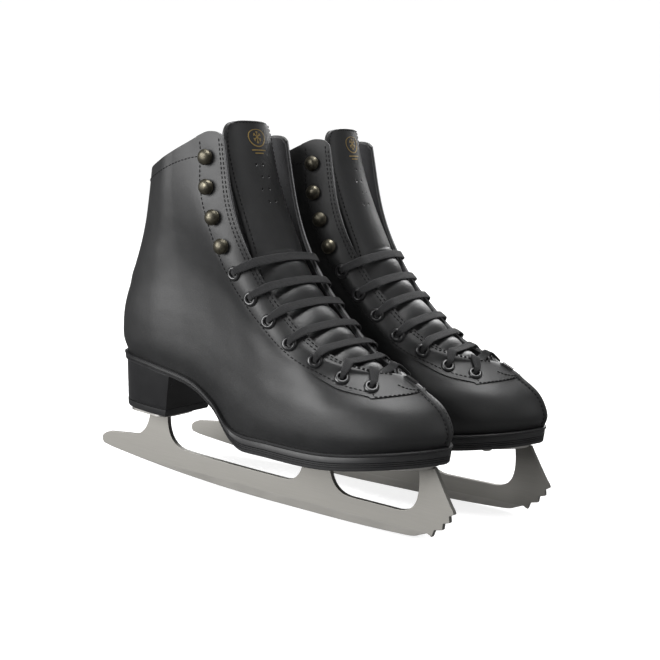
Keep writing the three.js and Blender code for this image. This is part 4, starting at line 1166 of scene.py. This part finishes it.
# ---- Blade ---------------------------------------------------------------------------------------
# One plate of nickel-plated steel, 4 mm thick, with a rockered runner, two posts and toe picks. It
# is finely ground along its length, and the ice edge is bright where it has been sharpened.
steel = Finish("nickel_blade", Metallic=1.0)
grind = steel.start.node("Mapping", {}, {0: steel.place, 3: (40.0, 40.0, 2600.0)})
lines_wide = steel.noise(1.0, 3, 0.6, grind)
height = steel.part(2)
hollow = 1 - height.ramp(0.0058, 0.0064)
steel.set("Base Color", (lines_wide * 0.6 + hollow * 0.4).tint((0.215, 0.209, 0.193),
                                                               (0.290, 0.281, 0.264)))
steel.set("Roughness", 0.50 - 0.14 * hollow + 0.12 * steel.noise(60, 4))
steel.set("Normal", steel.bump(lines_wide, 0.012, 0.6))
ROCKER, RUNNER = 1250, 17
UNDER_HEEL = 44.2


def rocker_z(x):
    return max(10 - x, x - 50, 0) ** 2 / (2 * ROCKER)


def under_front(x):
    return float(feather_z(x) - 1.3 - sole_thick(x)) - 2.8


def curve_to(line, control, end, steps=14):
    start = np.array(line[-1], float)
    control, end = np.array(control, float), np.array(end, float)
    for k in range(1, steps + 1):
        t = k / steps
        line.append(tuple((1 - t) ** 2 * start + 2 * t * (1 - t) * control + t * t * end))


def blade_outline():
    line = [(-144, rocker_z(-144) + 0.5)]
    line += [(x, rocker_z(x)) for x in range(-138, 10, 6)]
    line += [(10, 0), (30, 0), (50, 0)] + [(x, rocker_z(x)) for x in range(56, 116, 7)]
    curve_to(line, (119, rocker_z(119)), (121.5, 3.6), 6)
    line += [(127.4, 6.2)]
    for tip, root in (((131, 4.5), (132.4, 9.4)), ((138, 10.8), (138.2, 15.2)),
                      ((142.6, 16.6), (141.8, 20.8))):
        before = np.array(line[-1])
        line += [tuple(before + (np.array(tip) - before) * 0.93), tip]
        line.append(tuple(np.array(tip) + (np.array(root) - tip) * 0.07))
        line.append(root)
    line += [(145, 22.6)]
    curve_to(line, (144.6, 24.5), (142.4, 27), 5)
    curve_to(line, (137, 35), (128, under_front(128)))
    line += [(124, under_front(124)), (120, under_front(120)), (116.5, under_front(116.5))]
    curve_to(line, (119.5, 34), (117.5, 26))
    curve_to(line, (115, RUNNER), (104, RUNNER))
    line += [(93, RUNNER), (81, RUNNER), (70, RUNNER)]
    curve_to(line, (52, RUNNER), (50, under_front(50)))
    line += [(43, under_front(43)), (36, under_front(36)), (30, under_front(30))]
    curve_to(line, (30, RUNNER + 1), (16, RUNNER + 1))
    line += [(x, RUNNER + 1 + rocker_z(x) / 2) for x in (4, -8, -20, -35, -50, -60)]
    line += [(-70, RUNNER + 2.5)]
    curve_to(line, (-87, RUNNER + 5), (-87.5, UNDER_HEEL))
    line += [(-95, UNDER_HEEL), (-103.5, UNDER_HEEL)]
    curve_to(line, (-103.5, RUNNER + 8), (-116, RUNNER + 5.5))
    line += [(-128, RUNNER + 4.1), (-140, RUNNER + 2.5)]
    curve_to(line, (-147, RUNNER), (-146, 13.5), 10)
    curve_to(line, (-146, rocker_z(-144) + 1.5), (-144, rocker_z(-144) + 0.5), 8)
    return line[:-1]


def plate_between(line, half):
    n = len(line)
    points = [(x, -half, z) for x, z in line] + [(x, half, z) for x, z in line]
    faces = [list(range(n)), list(range(n, 2 * n))[::-1]]
    faces += [[k, (k + 1) % n, n + (k + 1) % n, n + k] for k in range(n)]
    return np.array(points, float), faces


for skate in STANDS:
    blade = piece("ground_blade", *plate_between(blade_outline(), 2.0), steel, skate, crisp=30)
    soften(blade, 0.35, 3, 35)
    blade.data.set_sharp_from_angle(angle=math.radians(12))
    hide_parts(f"{skate}_blade")

# ---- Mounting plates and screws ------------------------------------------------------------------
# The blade's posts are brazed to two thin steel plates. Each plate is screwed up into the sole or
# the heel with countersunk cross-head screws.
plated = Finish("plated_steel", Metallic=1.0)
plated.set("Base Color", plated.noise(130, 3).tint((0.50, 0.485, 0.46), (0.66, 0.645, 0.62)))
plated.set("Roughness", 0.26 + 0.16 * plated.noise(240, 4))
plated.set("Normal", plated.bump(plated.noise(900, 2), 0.02, 0.4))
PLATE = 2.2


def mounting_plate(start, end, width, narrow, top, bottom):
    t = 0.5 - 0.5 * np.cos(np.linspace(0, math.pi, 60))
    ends = np.sqrt(np.maximum(0, 1 - np.abs(2 * t - 1) ** 6))
    half = (width - (width - narrow) * t) * (0.30 + 0.70 * ends)
    x = start + (end - start) * t
    sides = [np.stack([x, side * half], -1) for side in (-1, 1)]
    return stacked([(sides, top), (sides, bottom)])


SCREWS = [(62, -15, "front"), (100, 14, "front"), (-99, -11, "heel"), (-86, 12, "heel")]
HEAD = [(0.01, -1.75), (1.6, -1.7), (2.6, -1.45), (3.3, -0.9), (3.6, -0.25), (3.5, 0.1), (1.7, 1.7),
        (1.7, 9), (0.9, 10.5), (0.01, 10.6)]


def screw_frame(spot):
    x, y, where = spot
    z = under_front(x) - 0.1 if where == "front" else UNDER_HEEL
    slope = (under_front(x + 2) - under_front(x - 2)) / 4 if where == "front" else 0
    ahead = unit(np.array([1, 0, slope]))
    return (np.array([x, y, z]), ahead, np.array([0, 1.0, 0]), np.cross(ahead, (0, 1.0, 0)))


def bar_shape(length, width, low, high):
    points = [(a * length, b * width, c)
              for c in (low, high) for a in (-0.5, 0.5) for b in (-0.5, 0.5)]
    return np.array(points), [[0, 1, 3, 2], [4, 6, 7, 5], [0, 4, 5, 1], [2, 3, 7, 6], [0, 2, 6, 4],
                              [1, 5, 7, 3]]


for skate in STANDS:
    front = mounting_plate(18, 127, 27, 17, lambda x: under_front(x) + 0.3 + PLATE,
                           lambda x: under_front(x) + 0.15)
    rear = mounting_plate(-113, -77, 17, 21, UNDER_HEEL + 0.35 + PLATE, UNDER_HEEL + 0.15)
    for name, shape, node in (("front_mounting_plate", front, "sole_plate"),
                              ("rear_mounting_plate", rear, "heel_plate")):
        made = piece(name, *shape, plated, skate)
        soften(made, 0.45, 3, 60)
        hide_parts(f"{skate}_{node}")
    for number, spot in enumerate(SCREWS, 1):
        head = piece(f"cross_head_screw_{number}",
                     *copies(turned(HEAD, 32, False), [screw_frame(spot)]),
                     plated, skate, crisp=35)
        for size in ((3.6, 0.8), (0.8, 3.6)):
            cutter = piece("cutter", *copies(bar_shape(*size, -3, -0.75), [screw_frame(spot)]),
                           plated, skate, None)
            apply(head, "BOOLEAN", object=cutter, operation="DIFFERENCE", solver="EXACT")
            bpy.data.objects.remove(cutter)
        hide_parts(f"{skate}_screw_{number}")

# ---- Footbed -------------------------------------------------------------------------------------
# A cloth-covered foam footbed on the insole board. It lies loose inside the lining, with its edge
# turned down all round.
FOOTBED_TOP = 9.6


def footbed_height(rise):
    return lambda x: feather_z(x) + rise


# Each ring: how far in from the featherline, and how far below the top.
FOOTBED = [(9.5, 0), (7.2, 0), (6.4, 0.5), (6.2, 1.4), (6.4, 3.2), (9.5, 3.2)]
for skate in STANDS:
    rings = [(outline(-inset), footbed_height(FOOTBED_TOP - drop)) for inset, drop in FOOTBED]
    bed = piece("cloth_footbed", *stacked(rings), cloth, skate)
    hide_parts(f"{skate}_footbed")

# ---- Hidden layers -------------------------------------------------------------------------------
# Pressed board at the heel, toe and insole, foam round the ankle, and a spring-steel shank. They
# keep their plain shapes, since the leather, the lining and the soles cover them.
board = Finish("pressed_board", Roughness=0.9)
board.set("Base Color", board.noise(500, 4).tint((0.22, 0.17, 0.12), (0.40, 0.33, 0.25)))
foam = Finish("open_foam", Roughness=0.95)
foam.set("Base Color", foam.cells(700).tint((0.06, 0.06, 0.065), (0.16, 0.16, 0.17)))
HIDDEN = {"heel_counter": board, "toe_puff": board, "insole_board": board, "collar_padding": foam,
          "shank": plated}
for skate in STANDS:
    for node, look in HIDDEN.items():
        layer = bpy.data.objects[f"{skate}_{node}"]
        layer.data.materials.clear()
        layer.data.materials.append(look.material)
